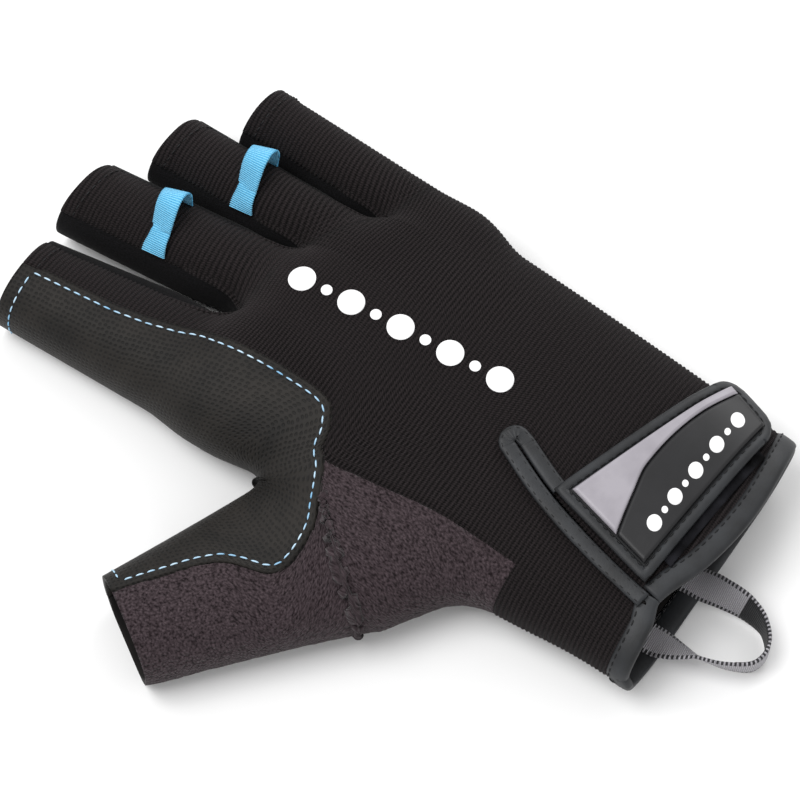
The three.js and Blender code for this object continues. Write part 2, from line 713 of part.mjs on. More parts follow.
// Piece: wrist side panel, ribbed cloth between the towelling and the cuff
const wristTop = sideTop.slice(CUFF_ROWS - sideEndRow);
const wristLow = wristTop.map(({ from }, i) => (
  i ? seamSeed(HEEL_END[0], Math.max(from[1], underEnd), 180) : heelLow[heelLow.length - 1]
));
const insetStart = (rows, by) => turned(inset(turned(rows), by, 0));
addPiece('wrist_side_panel', sheet([
  inset(insetStart(ruled(wristTop, wristLow, SIDE_COLUMNS), SEAM_GAP), GAP, GAP),
]), '#252122', 0.95);

// The palm side, leather, ruled between the side seams over the flat underside
function underRows(left, right, steps) {
  return left.map((from, k) => Array.from({ length: steps + 1 }, (_, i) => {
    const [x, y] = mix(from, right[k], (1 - Math.cos((Math.PI * i) / steps)) / 2);
    return i % steps ? skin({ from: [x, y, SEAM_HEIGHT], way: [0, 0, -1] }) : [x, y, SEAM_HEIGHT];
  }));
}

const PALM_COLUMNS = 4; // under each stall
const outerSeam = (finger, heading) => grid(STALL_ROWS, (_, k) => {
  const start = knuckleEnds[heading ? 0 : knuckleEnds.length - 1];
  return stallSeam(finger, stallY(finger, start, k), heading);
});
const palmFingers = FINGERS.map((finger, i) => {
  const left = i === 0 ? outerSeam(finger, 180) : forkPanels[i - 1].lowRight;
  const right = i === FINGERS.length - 1 ? outerSeam(finger, 0) : forkPanels[i].lowLeft;
  return underRows(left.map(skin), right.map(skin), PALM_COLUMNS);
});
const palmKnuckles = palmFingers.flatMap((rows, i) => (i ? rows[0].slice(1) : rows[0]));

// Where palm and thumb leather meet, from the wrist to the web
const WRIST_CORNER = 4; // row of the heel's lower seam where that line starts
const LINE_ROWS = 5;
const corner = skin(heelLow[WRIST_CORNER]);
const web = skin(webLow[webRows]);
const thumbLine = spread(corner, web, LINE_ROWS);

// Piece: palm panel, with the undersides of the four finger stalls
const palmLeft = [
  ...[...wristLow].reverse().map(skin),
  ...heelLow.slice(WRIST_CORNER + 1, -1).reverse().map(skin),
  ...thumbLine,
  ...webLow.slice(1, -1).reverse().map(skin),
];
const PALM_HEART = 0.4; // where the rays to the far side seam start, as a share of half the width
const palmHand = palmLeft.map((left, k) => {
  const t = k / palmLeft.length;
  const y = lerp(underEnd, littleY, t);
  const right = skin(seamSeed(section(y).half * PALM_HEART, y, 0));
  return [left, right];
});
const palmRows = underRows(
  palmHand.map(([left]) => left),
  palmHand.map(([, right]) => right),
  PALM_COLUMNS * FINGERS.length,
);
addPiece('palm_panel', sheet([
  inset([...palmRows, palmKnuckles], GAP, GAP),
  ...palmFingers.map((rows, i) => stallRows(rows, i === 0 ? GAP : 0, i === 3 ? GAP : 0)),
]), '#1c1b1a', 0.7);

// Piece: thumb palm panel, leather under the thumb
const webCorner = Array(WRIST_CORNER).fill(webLow[webRows]);
const underLeft = [...[...thumbLow].reverse(), ...webCorner];
const underRight = [...thumbBack, ...heelLow.slice(1, WRIST_CORNER + 1)];
const WRIST_CLEAR = 2 * SEAM_GAP; // kept from the palm at the wrist corner
const underThumb = underRows(underLeft.map(skin), underRight.map(skin), PALM_COLUMNS + 1);
addPiece('thumb_palm_panel', sheet([
  inset(insetStart(underThumb.reverse(), WRIST_CLEAR), GAP, GAP),
]), '#1c1b1a', 0.7);

// Piece: cuff binding, a rolled tape from one side of the slit round the wrist to the other
const CUFF_STATIONS = 44;
const CUFF_PROUD = 0.8; // how far it stands above the cloth on the back
function cuffSeed(turn) {
  const { middle, half, high } = section(0);
  const x = middle + half * Math.sin(turn);
  const y = (Math.cos(turn) > 0 ? cuffY(x) : cuffY(half)) + CUFF_BINDING / 2;
  const from = [middle + (half - high) * Math.sin(turn), y, high * 2 * MID_HEIGHT];
  return { from, way: [Math.sin(turn), 0, Math.cos(turn)] };
}

// The turn round the wrist at which the binding lies over a given x on the back
const BACK_TURN = 1.2; // radians either way from straight up that count as the back
function turnOver(x) {
  let [low, top] = [-BACK_TURN, BACK_TURN];
  for (let i = 0; i < HALVINGS; i += 1) {
    const turn = (low + top) / 2;
    if (skin(cuffSeed(turn))[0] < x) low = turn;
    else top = turn;
  }
  return low;
}
const slitEnd = slitAt(1)[0];
const turns = [turnOver(slitEnd - SEAM_GAP), turnOver(slitEnd + SEAM_GAP) - 2 * Math.PI];
const cuffPath = grid(CUFF_STATIONS, (t) => skin(cuffSeed(lerp(...turns, t))));
const proud = ([, , z]) => CUFF_PROUD * clamp((z - SEAM_HEIGHT) / SEAM_HEIGHT);
addPiece(
  'cuff_binding',
  rail(cuffPath, CUFF_BINDING, proud, () => CUFF_ROLL - CUFF_PROUD),
  '#343638',
  0.5,
);

// Piece: slit binding, down the thumb side of the slit and round its closed end to the strap
const STRAP_TOP = 0.36; // where the strap's root starts along the slit, from its closed end
const STRAP_LOW = 0.92; // and where it ends
const SLIT_SHORT = 0.05; // the leg under the strap's side stops this much before its root
const SLIT_STATIONS = 12;
const LEG_END = 0.93; // where the leg on the thumb side ends, a share of the slit
const LEG_START = 0.03; // where the round of the closed end passes into the legs
const LOOK = 0.02; // share of the slit over which its direction is read
const slitSide = SLIT_OPENING / 2 + SLIT_BINDING / 2;
function slitLeg(side, from, to) {
  return grid(SLIT_STATIONS, (t) => {
    const at = lerp(from, to, t);
    const [near, far] = [slitAt(at - LOOK), slitAt(at + LOOK)];
    const ahead = unit([...add(far, near, -1), 0]);
    return add(slitAt(at), [-ahead[1] * side, ahead[0] * side], slitSide);
  });
}
const bend = grid(4, (t) => {
  const turn = Math.PI * (1 - t);
  return add(slitTop, [Math.cos(turn) * slitSide, Math.sin(turn) * slitSide]);
});
const slitPlan = [
  ...slitLeg(-1, LEG_END, LEG_START),
  ...bend,
  ...slitLeg(1, LEG_START, STRAP_TOP - SLIT_SHORT),
];
const slitPath = slitPlan.map(([x, y]) => skin(handSeed(x, Math.max(y, panelEnd(x) + SEAM_GAP))));
addPiece(
  'slit_binding',
  rail(slitPath, SLIT_BINDING, () => SEAM_GAP + SLIT_ROLL, () => -SEAM_GAP),
  '#343638',
  0.5,
);

// The strap over the slit, in its own measures: u from root to free end, v from the cuff's
// edge to the edge nearer the fingers
const STRAP_SLANT = -12; // degrees from +X
const STRAP_LIFT = 2.5; // how far the free end stands off the side
const LIFT_POWER = 4; // the more, the later it starts to lift
const STRAP_IN = 1; // its root's edge lies this far past the slit
const rootTop = add(slitAt(STRAP_TOP), [STRAP_IN, 0]);
const rootLow = add(slitAt(STRAP_LOW), [STRAP_IN, 0]);
const strapWay = [Math.cos(rad(STRAP_SLANT)), Math.sin(rad(STRAP_SLANT))];
const strapUp = unit([...add(rootTop, rootLow, -1), 0]).slice(0, 2);
const strapEnd = add(mix(rootLow, rootTop, 0.5), strapWay, STRAP_LENGTH);
const END_HEADING = 69; // of the free end's edge, degrees from +X
const endUp = [Math.cos(rad(END_HEADING)), Math.sin(rad(END_HEADING))];

function strapPoint(u, v) {
  const root = add(mix(rootLow, rootTop, 0.5), strapUp, (v - 0.5) * STRAP_ROOT);
  const end = add(strapEnd, endUp, (v - 0.5) * STRAP_END);
  return mix(root, end, u);
}

// A patch of the strap between two curves of v, each a function of u
function strapPatch(from, to, low, high, steps, across) {
  return grid(steps, (t) => {
    const u = lerp(from, to, t);
    return grid(across, (s) => {
      const [x, y] = strapPoint(u, lerp(low(u), high(u), s));
      return skin(handSeed(x, Math.max(y, panelEnd(x))));
    });
  });
}

// How much a round corner of the free end takes off the width there, as a share of it
function rounded(radius) {
  return (u) => {
    const past = clamp(1 - ((1 - u) * STRAP_LENGTH) / radius);
    return (radius * (1 - Math.sqrt(1 - past * past))) / STRAP_END;
  };
}
const strapHeight = ([x]) => {
  const share = clamp((x - rootTop[0]) / STRAP_LENGTH);
  return 2 * SEAM_GAP + FASTENER_THICKNESS + STRAP_THICKNESS + STRAP_LIFT * share ** LIFT_POWER;
};

// Piece: closure strap
const cornerCut = rounded(STRAP_CORNER);
const STRAP_COLUMNS = 6;
const CORNER_STEPS = [0.96, 0.985, 1]; // extra rows where the corners are round
const strapSteps = [...grid(9, (t) => lerp(0, 1 - STRAP_CORNER / STRAP_LENGTH, t)), ...CORNER_STEPS];
const strapRows = strapSteps.map((u) => Array.from({ length: STRAP_COLUMNS + 1 }, (_, i) => {
  const v = lerp(cornerCut(u), 1 - cornerCut(u), i / STRAP_COLUMNS);
  return skin(handSeed(...strapPoint(u, v)));
}));
addPiece('closure_strap', sheet([strapRows], {
  wall: () => STRAP_THICKNESS,
  lift: strapHeight,
}), '#2b2b2d', 0.55);

// Pieces: the two moulded patches on it
const PATCH_EDGE = [
  { along: 0.0, across: 0.36 },
  { along: 0.25, across: 0.57 },
  { along: 0.38, across: 0.68 },
  { along: 0.67, across: 0.76 },
  { along: 1.0, across: 0.7 },
];
const rim = (u) => STRAP_RIM / lerp(STRAP_ROOT, STRAP_END, u);
const rimStart = STRAP_RIM / STRAP_LENGTH;
const rimEnd = 1 - rimStart;
const patchEdge = (u) => read(PATCH_EDGE, 'along', u, 'across');
const gapShare = (u) => GAP / lerp(STRAP_ROOT, STRAP_END, u);
const patch = {
  wall: () => PATCH_THICKNESS,
  lift: (p) => strapHeight(p) + SEAM_GAP + PATCH_THICKNESS,
};
addPiece('strap_grey_patch', sheet([
  strapPatch(rimStart, rimEnd, (u) => patchEdge(u) + gapShare(u), (u) => 1 - rim(u), 10, 2),
], patch), '#b3afb6', 0.4);
addPiece('strap_black_patch', sheet([
  strapPatch(rimStart, rimEnd, rim, (u) => patchEdge(u) - gapShare(u), 10, 3),
], patch), '#28282a', 0.45);

// Piece: loop fastener on the flap under the strap, a little of it past the strap's edge
const FASTENER_SHOWS = 2.5;
const FASTENER_FROM = 0.14; // along the strap, as shares of its length
const FASTENER_TO = 0.86;
const FASTENER_TOP = 0.85; // across it, as a share of its width
const fastenerEdge = (u) => -FASTENER_SHOWS / lerp(STRAP_ROOT, STRAP_END, u);
addPiece('loop_fastener', sheet([
  strapPatch(FASTENER_FROM, FASTENER_TO, fastenerEdge, () => FASTENER_TOP, 8, 5),
], {
  wall: () => FASTENER_THICKNESS,
  lift: () => SEAM_GAP + FASTENER_THICKNESS,
}), '#1d1d1f', 1);

// Piece: pull loop, woven tape that stands on edge outside the cuff. x is a share of the
// palm's width, y of the loop's reach, z of the tape's width, twist in degrees from lying flat.
const LOOP = [
  { x: -0.03, y: 0.4, z: 0, twist: 0 },
  { x: -0.026, y: 0.1, z: 0, twist: 0 },
  { x: -0.02, y: -0.22, z: 0.2, twist: 40 },
  { x: -0.02, y: -0.55, z: 0.27, twist: 62 },
  { x: -0.045, y: -0.84, z: 0.27, twist: 84 },
  { x: -0.1, y: -1.0, z: 0.27, twist: 90 },
  { x: -0.16, y: -0.97, z: 0.27, twist: 86 },
  { x: -0.205, y: -0.72, z: 0.27, twist: 78 },
  { x: -0.23, y: -0.4, z: 0.27, twist: 68 },
  { x: -0.245, y: -0.14, z: 0.17, twist: 30 },
  { x: -0.25, y: 0.04, z: 0.09, twist: 3 },
  { x: -0.252, y: 0.2, z: 0.06, twist: 0 },
  { x: -0.254, y: 0.4, z: 0.06, twist: 0 },
];
const LOOP_STATIONS = 30;
const tapeFloor = CUFF_ROLL - CUFF_PROUD + SEAM_GAP + TAPE_THICKNESS / 2;
const loopCurve = new THREE.CatmullRomCurve3(LOOP.map(({ x, y, z }) => new THREE.Vector3(
  x * PALM_WIDTH,
  y * LOOP_REACH,
  tapeFloor + z * TAPE_WIDTH,
)), false, 'centripetal');
addPiece('pull_loop', ribbon(grid(LOOP_STATIONS, (t) => {
  const p = loopCurve.getPoint(t).toArray();
  const ahead = loopCurve.getTangent(t);
  const side = unit([-ahead.y, ahead.x, 0]);
  const row = Math.min(Math.floor(t * (LOOP.length - 1)), LOOP.length - 2);
  const twist = rad(lerp(LOOP[row].twist, LOOP[row + 1].twist, t * (LOOP.length - 1) - row));
  const along = add([0, 0, Math.sin(twist)], side, Math.cos(twist));
  return { p, along, face: unit(cross(ahead.toArray(), along)) };
}), TAPE_WIDTH, TAPE_THICKNESS), '#8f8d91', 0.9);

// Pieces: ribbon tabs over the middle and the ring finger, sewn in at one seam and standing
// off the back of the finger before the other
const TABS = [
  { finger: 1, along: 0.859, from: -50, to: 48 },
  { finger: 2, along: 0.8, from: -50, to: 48 },
];
const TAB_STATIONS = 12;
const TAB_SKEW = 3; // its far end lies nearer to the fingertip by this much
const TAB_PEAK = 0.66; // where it stands highest, as a share of its length
TABS.forEach(({ finger, along, from, to }) => {
  const host = FINGERS[finger];
  const points = grid(TAB_STATIONS, (t) => {
    const p = skin(fingerSeed(host, along * GLOVE_LENGTH + t * TAB_SKEW, lerp(from, to, t)));
    const near = clamp(1 - Math.abs(t - TAB_PEAK) / (1 - TAB_PEAK));
    return add(p, skinNormal(p), SEAM_GAP + TAB_THICKNESS / 2 + TAB_RISE * ease(near));
  });
  const stations = points.map((p, i) => {
    const ahead = unit(add(points[Math.min(i + 1, TAB_STATIONS)], points[Math.max(i - 1, 0)], -1));
    const width = [0, 1, 0];
    return { p, along: width, face: unit(cross(width, ahead)) };
  });
  addPiece(`${host.name}_finger_tab`, ribbon(stations, TAB_WIDTH, TAB_THICKNESS), '#5cc0ea', 0.9);
});

glove.updateMatrixWorld(true);
const box = new THREE.Box3().setFromObject(glove);
const centre = box.getCenter(new THREE.Vector3());
glove.children.forEach((mesh) => mesh.position.set(-centre.x, -centre.y, -box.min.z));

export default glove;
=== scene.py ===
# %% [markdown]
# # A half-finger glove for climbing on fixed cables
# The glove lies palm down, as full as if a hand were in it. Its panels are cloth, leather and
# towelling sewn to each other, so every panel here is a piece of one imagined skin: the form
# of a hand, given by a distance formula. Rays leave the inside of that form and stop at the
# skin. A panel is the sheet of such points between two seams.

# %% Frame
import math

import bpy
import numpy as np
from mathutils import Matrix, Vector


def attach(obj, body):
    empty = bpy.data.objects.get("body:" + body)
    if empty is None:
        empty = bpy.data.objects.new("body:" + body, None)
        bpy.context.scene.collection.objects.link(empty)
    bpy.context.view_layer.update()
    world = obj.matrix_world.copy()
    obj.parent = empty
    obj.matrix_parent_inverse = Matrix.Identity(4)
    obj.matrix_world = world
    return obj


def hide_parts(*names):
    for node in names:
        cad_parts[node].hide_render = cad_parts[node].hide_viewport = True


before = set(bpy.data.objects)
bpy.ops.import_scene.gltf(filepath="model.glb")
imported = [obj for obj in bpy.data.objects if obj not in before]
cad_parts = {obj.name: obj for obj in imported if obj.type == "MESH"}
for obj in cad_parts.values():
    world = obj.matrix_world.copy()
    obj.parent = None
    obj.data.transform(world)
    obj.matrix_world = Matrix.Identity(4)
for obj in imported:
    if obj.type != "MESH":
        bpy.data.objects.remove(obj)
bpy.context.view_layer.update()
print("solids:", len(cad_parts))

# %% [markdown]
# ## Sizes
# Everything is worked out in millimetres, with y along the fingers from the cuff's edge, x
# towards the little finger from the middle of the palm, and z up from the table. The same few
# sizes and shares as in the construction give the form, so the dressed pieces lie where the
# solids are.

# %% Driving sizes
GLOVE_LENGTH = 194.0
PALM_WIDTH = 88.0
HAND_HEIGHT = 29.0
FINGER_WIDTH = 22.0
FINGER_HEIGHT = 21.0
THUMB_LENGTH = 60.0
THUMB_WIDTH = 29.0
THUMB_HEIGHT = 24.0
CLOTH = 1.5
SEAM_GAP = 0.3
GAP = SEAM_GAP / 2  # each side's share of a seam's gap
EDGE_IN = 1.5  # how far the panels run into the cuff's tape
MEET = -0.05  # panels are sewn edge to edge, so the dressed ones meet
SEAM_HEIGHT = 4.5  # of the side seams over the table
CUFF_BINDING = 6.0
CUFF_ROLL = 2.8
CUFF_PROUD = 0.8
SLIT_BINDING = 4.2
SLIT_ROLL = 1.8
SLIT_OPENING = 0.5
STRAP_LENGTH = 56.0
STRAP_ROOT = 33.0
STRAP_END = 19.5
STRAP_THICKNESS = 1.4
STRAP_CORNER = 5.0
STRAP_RIM = 3.0
PATCH_THICKNESS = 0.9
FASTENER_THICKNESS = 0.9
TAB_WIDTH = 7.0
TAB_THICKNESS = 0.8
TAB_RISE = 6.0
TAPE_WIDTH = 8.5
TAPE_THICKNESS = 1.0
LOOP_REACH = 23.5
SINK = 2.2  # how far the form reaches below the table before it is pressed flat
RIB = 1.25  # pitch of the ribs in the stretch cloth
print("glove, mm:", GLOVE_LENGTH, "long,", PALM_WIDTH, "across the knuckles")

# %% [markdown]
# ## The form's tables
# Each row is a section or a bend, given as shares of the sizes above. Lengths are shares of
# the glove's length, widths of the palm's width.

# %% Tables
# along, middle, half width, height
SECTIONS = np.array([
    (-0.05, 0.0, 0.442, 0.88), (0.08, 0.01, 0.452, 0.9), (0.2, 0.005, 0.472, 0.94),
    (0.36, 0.01, 0.482, 1.0), (0.52, 0.005, 0.5, 1.03), (0.64, 0.012, 0.508, 1.0),
    (0.75, 0.02, 0.515, 0.94),
])
# across, along: where the hand ends between the fingers
KNUCKLES = np.array([
    (-0.5, 0.72), (-0.127, 0.705), (0.137, 0.683), (0.354, 0.62), (0.54, 0.56),
])
FINGERS = [
    dict(root=(-0.295, 0.6), tip=(-0.38, 0.99), half=(0.77, 0.545), slant=0.0, left=4, right=58),
    dict(root=(0.04, 0.6), tip=(-0.05, 1.0), half=(0.48, 0.46), slant=0.12, left=-55, right=58),
    dict(root=(0.252, 0.56), tip=(0.235, 0.94), half=(0.385, 0.42), slant=0.16, left=-55,
         right=58),
    dict(root=(0.45, 0.48), tip=(0.47, 0.865), half=(0.36, 0.395), slant=0.12, left=-55,
         right=None),
]
THUMB = dict(root=(-0.54, 0.415), heading=147.5, half=(0.86, 0.5), root_height=1.12)
# across, along: seam on the thumb side of the back, from the cuff to the index opening
THUMB_SEAM = np.array([
    (-0.385, 0.03), (-0.365, 0.12), (-0.362, 0.2), (-0.362, 0.32), (-0.395, 0.43),
    (-0.41, 0.49), (-0.33, 0.505), (-0.262, 0.53), (-0.25, 0.6), (-0.27, 0.73),
])
# its rows at the towelling's end, the slit's top, the lobe's start and the opening
SIDE_END, SLIT_ROW, PINCH, SEAM_ROWS = 2, 3, 5, 9
# out, up: the seam between leather and towelling on the thumb
LOBE_SEAM = np.array([
    (0.05, 0.38), (0.14, 0.05), (0.34, -0.26), (0.56, 0.18), (0.8, 0.36), (1.0, 0.5),
])
# across, along: the slit, the cuff's edge, and the edge between the patches
SLIT = np.array([(-0.065, 0.289), (-0.135, 0.212), (-0.188, 0.12), (-0.225, 0.03)])
CUFF_EDGE = np.array([
    (-0.5, 0.0), (-0.3, 0.006), (-0.22, 0.016), (-0.05, -0.01), (0.15, -0.022),
    (0.35, -0.014), (0.5, 0.0),
])
PATCH_EDGE = np.array([(0.0, 0.36), (0.25, 0.57), (0.38, 0.68), (0.67, 0.76), (1.0, 0.7)])
print("sections:", len(SECTIONS), "fingers:", len(FINGERS), "seam points:", len(THUMB_SEAM))

# %% [markdown]
# ## Small tools for whole arrays
# `read` looks a value up in a table on a smooth curve, `follow` walks along a smooth line
# through points, and the rest are the usual blends. All take whole arrays at once.

# %% Array tools
TINY = 1e-6  # keeps a division off nought


def stack(*parts):
    """Joins coordinate arrays of any matching shape into one array of points."""
    return np.stack(np.broadcast_arrays(*parts), axis=-1).astype(float)


def unit(a):
    """A direction: each vector over its own length."""
    return a / np.linalg.norm(a, axis=-1, keepdims=True)


def mix(a, b, t):
    """The point a share t of the way from a to b."""
    return a + (b - a) * t


def ease(t):
    """A share that starts and ends softly: 3 t^2 - 2 t^3."""
    return t * t * (3 - 2 * t)


def read(table, at, column):
    """Value of a column at a key in column 0: an eased line through the rows plus a bulge that
    gives the curve the mean slope of its neighbours at each row."""
    keys, values = table[:, 0], table[:, column]
    at = np.asarray(at, float)
    i = np.clip(np.searchsorted(keys[1:], at), 0, len(keys) - 2)
    rows = np.arange(len(keys))
    low, high = np.maximum(rows - 1, 0), np.minimum(rows + 1, len(keys) - 1)
    slope = (values[high] - values[low]) / (keys[high] - keys[low])
    span = keys[i + 1] - keys[i]
    t = np.clip((at - keys[i]) / span, 0, 1)
    bulge = t * (1 - t) * span * ((1 - t) * slope[i] - t * slope[i + 1])
    return mix(values[i], values[i + 1], ease(t)) + bulge


def follow(points, at):
    """Point on the centripetal Catmull-Rom curve through the points, at from 0 to 1 by row."""
    ends = [2 * points[0] - points[1], *points, 2 * points[-1] - points[-2]]
    p = np.array(ends, float)
    place = np.clip(np.asarray(at, float), 0, 1) * (len(points) - 1)
    i = np.minimum(place.astype(int), len(points) - 2)
    t = (place - i)[..., None]
    p0, p1, p2, p3 = p[i], p[i + 1], p[i + 2], p[i + 3]

    def step(a, b):
        """Square root of the distance between two points."""
        return np.linalg.norm(b - a, axis=-1, keepdims=True) ** 0.5

    d0, d1, d2 = step(p0, p1), step(p1, p2), step(p2, p3)
    out = ((p1 - p0) / d0 - (p2 - p0) / (d0 + d1) + (p2 - p1) / d1) * d1
    come = ((p2 - p1) / d1 - (p3 - p1) / (d1 + d2) + (p3 - p2) / d2) * d1
    cube, square = 2 * p1 - 2 * p2 + out + come, -3 * p1 + 3 * p2 - 2 * out - come
    return p1 + t * (out + t * (square + t * cube))


print("a quarter, eased:", ease(0.25))

# %% [markdown]
# ## The form
# The hand, four finger stalls and the thumb are tubes with squarish oval sections. Smooth
# unions grow them together, and a last smooth cut presses the palm flat on the table.

# %% Distance formulas
HAND_POWER, STALL_POWER = 2.5, 2.25
STALL_ROOT_HEIGHT, THUMB_FLARE = 1.15, 0.8
WEB, KNUCKLE_ROUND, PRESS_ROUND, ROOT_ROUND = 8.0, 12.0, 2.0, 12.0


def join(a, b, k):
    """Union of two distances, rounded over a reach k: the lesser one, less (k - |a - b|)^2 / 4k
    where they are nearly equal."""
    return np.minimum(a, b) - np.maximum(k - np.abs(a - b), 0) ** 2 / (4 * k)


def cut(a, b, k):
    """Intersection with the same rounding: the union of the two insides, turned about."""
    return -join(-a, -b, k)


def oval(across, up, half, half_height, power):
    """Distance to an oval tube: the reach from its axis, times 1 - 1/share, where share is how
    far out the point lies, 1 being on the skin."""
    share = (np.abs(across / half) ** power + np.abs(up / half_height) ** power) ** (1 / power)
    share = np.maximum(share, TINY)
    return np.hypot(across, up) * (1 - 1 / share) - (share < 2 * TINY) * half_height


def section(y):
    """Middle, half width and half height of the hand at y, read from the sections."""
    at = y / GLOVE_LENGTH
    high = (HAND_HEIGHT * read(SECTIONS, at, 3) + SINK) / 2
    return PALM_WIDTH * read(SECTIONS, at, 1), PALM_WIDTH * read(SECTIONS, at, 2), high


def hand_form(x, y, z):
    """The hand's oval tube, cut off where the fingers begin."""
    middle, half, high = section(y)
    end = GLOVE_LENGTH * read(KNUCKLES, x / PALM_WIDTH, 1)
    return cut(oval(x - middle, z + SINK - high, half, high, HAND_POWER), y - end, KNUCKLE_ROUND)


def stall(finger, y):
    """Axis place, half width and half height of a finger stall at y."""
    root, tip = finger["root"], finger["tip"]
    t = np.clip((y / GLOVE_LENGTH - root[1]) / (tip[1] - root[1]), 0, 1)
    high = (FINGER_HEIGHT * mix(STALL_ROOT_HEIGHT, 1, t) + SINK) / 2
    return PALM_WIDTH * mix(root[0], tip[0], t), FINGER_WIDTH * mix(*finger["half"], t), high


def finger_form(finger, x, y, z):
    """A stall's oval tube, cut off a little inside the hand."""
    middle, half, high = stall(finger, y)
    tube = oval(x - middle, z + SINK - high, half, high, STALL_POWER)
    return cut(tube, finger["root"][1] * GLOVE_LENGTH - y, ROOT_ROUND)


THUMB_ROOT = np.array([THUMB["root"][0] * PALM_WIDTH, THUMB["root"][1] * GLOVE_LENGTH])
THUMB_TURN = math.radians(THUMB["heading"])
THUMB_OUT = np.array([math.cos(THUMB_TURN), math.sin(THUMB_TURN)])
THUMB_UP = np.array([THUMB_OUT[1], -THUMB_OUT[0]])


def thumb_at(out):
    """Half width and half height of the thumb at a distance out from its root."""
    t = np.clip(out / THUMB_LENGTH, 0, 1)
    high = (THUMB_HEIGHT * mix(THUMB["root_height"], 1, t) + SINK) / 2
    return THUMB_WIDTH * mix(*THUMB["half"], t**THUMB_FLARE), high


def thumb_point(out, up=0.0):
    """Place on the table at a distance out along the thumb and up across it."""
    out, up = np.asarray(out, float)[..., None], np.asarray(up, float)[..., None]
    return THUMB_ROOT + out * THUMB_OUT + up * THUMB_UP


def thumb_form(x, y, z):
    """The thumb's oval tube, measured out along it and up across it."""
    dx, dy = x - THUMB_ROOT[0], y - THUMB_ROOT[1]
    out, up = dx * THUMB_OUT[0] + dy * THUMB_OUT[1], dx * THUMB_UP[0] + dy * THUMB_UP[1]
    half, high = thumb_at(out)
    return np.maximum(oval(up, z + SINK - high, half, high, STALL_POWER), -out - half)


def form(p):
    """The whole glove: hand, fingers and thumb grown together, then pressed flat."""
    x, y, z = p[..., 0], p[..., 1], p[..., 2]
    fingers = np.minimum.reduce([finger_form(f, x, y, z) for f in FINGERS])
    hand = join(join(hand_form(x, y, z), fingers, WEB), thumb_form(x, y, z), WEB)
    return cut(hand, -z, PRESS_ROUND)


heart = np.array([[0.0, GLOVE_LENGTH / 2, HAND_HEIGHT / 2]])
print("from the hand's heart to its skin, mm:", np.round(-form(heart), 1))

# %% [markdown]
# ## Finding the skin
# Every ray steps outward a millimetre at a time until it has left the form, and then the last
# step is halved until the crossing is known to a few thousandths of a millimetre. The
# gradient of the form is the direction of the cloth's own normal there.

# %% Rays
NORMAL_STEP = 0.4
HALVINGS = 12
SETTLE_STEPS = 4


def skin(start, way):
    """First points outside the form along rays: march by 1 mm, then bisect."""
    shape = start.shape
    start, way = start.reshape(-1, 3), way.reshape(-1, 3)
    far = np.zeros(len(start))
    active = np.arange(len(start))
    while len(active) and far.max() < PALM_WIDTH:
        inside = form(start[active] + way[active] * far[active, None]) < 0
        active = active[inside]
        far[active] += 1
    near = np.maximum(far - 1, 0)
    for _ in range(HALVINGS):
        middle = (near + far) / 2
        inside = form(start + way * middle[:, None]) < 0
        near, far = np.where(inside, middle, near), np.where(inside, far, middle)
    return (start + way * far[:, None]).reshape(shape)


def skin_normal(p):
    """Direction in which the form grows fastest, from differences along each axis."""
    steps = np.eye(3) * NORMAL_STEP
    return unit(stack(*[form(p + step) - form(p - step) for step in steps]))


def settle(points):
    """Moves points that lie near the skin onto it, along its normal."""
    for _ in range(SETTLE_STEPS):
        off = np.clip(form(points), -1, 1)[..., None]
        points = points - skin_normal(points) * off
    return points


print("rays end within, mm:", 0.5**HALVINGS)

# %% [markdown]
# ## Seeds
# A seed is where a ray starts and which way it goes. On the hand the rays stand upright and
# fan out round the edge, in a stall they fan round its axis, and at the side seams they run
# level, a few millimetres above the table.

# %% Seeds
MID_HEIGHT, EDGE_ROUND = 0.42, 0.9


def hand_seed(x, y):
    """Upright rays over the middle of the hand, which fan out round its edge."""
    middle, half, high = section(y)
    fan = high * EDGE_ROUND
    side, away = np.sign(x - middle), np.abs(x - middle)
    past = np.maximum(away - (half - fan), 0)
    start = stack(middle + side * (away - past), y, 2 * high * MID_HEIGHT)
    return start, stack(side * np.sin(past / fan), 0, np.cos(past / fan))


def finger_seed(finger, y, angle):
    """Rays from a stall's axis, at an angle from upright."""
    x, _, high = stall(finger, y)
    turn = np.radians(angle)
    return stack(x, y, high - SINK / 2), stack(np.sin(turn), 0, np.cos(turn)) + 0 * stack(x, y, y)


def seam_seed(x, y, heading):
    """Level rays from (x, y) at the seam's height, at a heading from the x axis."""
    turn = np.radians(heading)
    return stack(x, y, SEAM_HEIGHT), stack(np.cos(turn), np.sin(turn), 0) + 0 * stack(x, y, y)


def stall_seam(finger, y, heading):
    """Level rays from a stall's axis."""
    return seam_seed(stall(finger, y)[0], y, heading)


def blend(a, b, t):
    """Seeds part of the way from a to b: places mixed, directions mixed and made unit."""
    t = np.asarray(t, float)[..., None] if np.ndim(t) else t
    return mix(a[0], b[0], t), unit(mix(a[1], b[1], t))


def ruled(top, low, steps):
    """Seeds of a sheet: each row runs from a top seam seed to a low seam seed."""
    across = np.linspace(0, 1, steps + 1)[None, :]
    wide = [(a[:, None, :], b[:, None, :]) for a, b in zip(top, low)]
    return mix(*wide[0], across[..., None]), unit(mix(*wide[1], across[..., None]))


def chain(*parts, bridge=0):
    """Puts rows of seeds one after another, with a few blended rows in each joint."""
    made = [parts[0]]
    for part in parts[1:]:
        last = tuple(a[-1:] for a in made[-1])
        first = tuple(a[:1] for a in part)
        if bridge:
            steps = (np.arange(bridge) + 1) / (bridge + 1)
            made.append(tuple(np.concatenate(rows) for rows in zip(
                *[blend(last, first, float(t)) for t in steps])))
        made.append(part)
    return tuple(np.concatenate(rows) for rows in zip(*made))


middle_top = skin(*hand_seed(heart[:, 0], heart[:, 1]))
print("the back's height at the middle, mm:", np.round(middle_top[:, 2], 2))

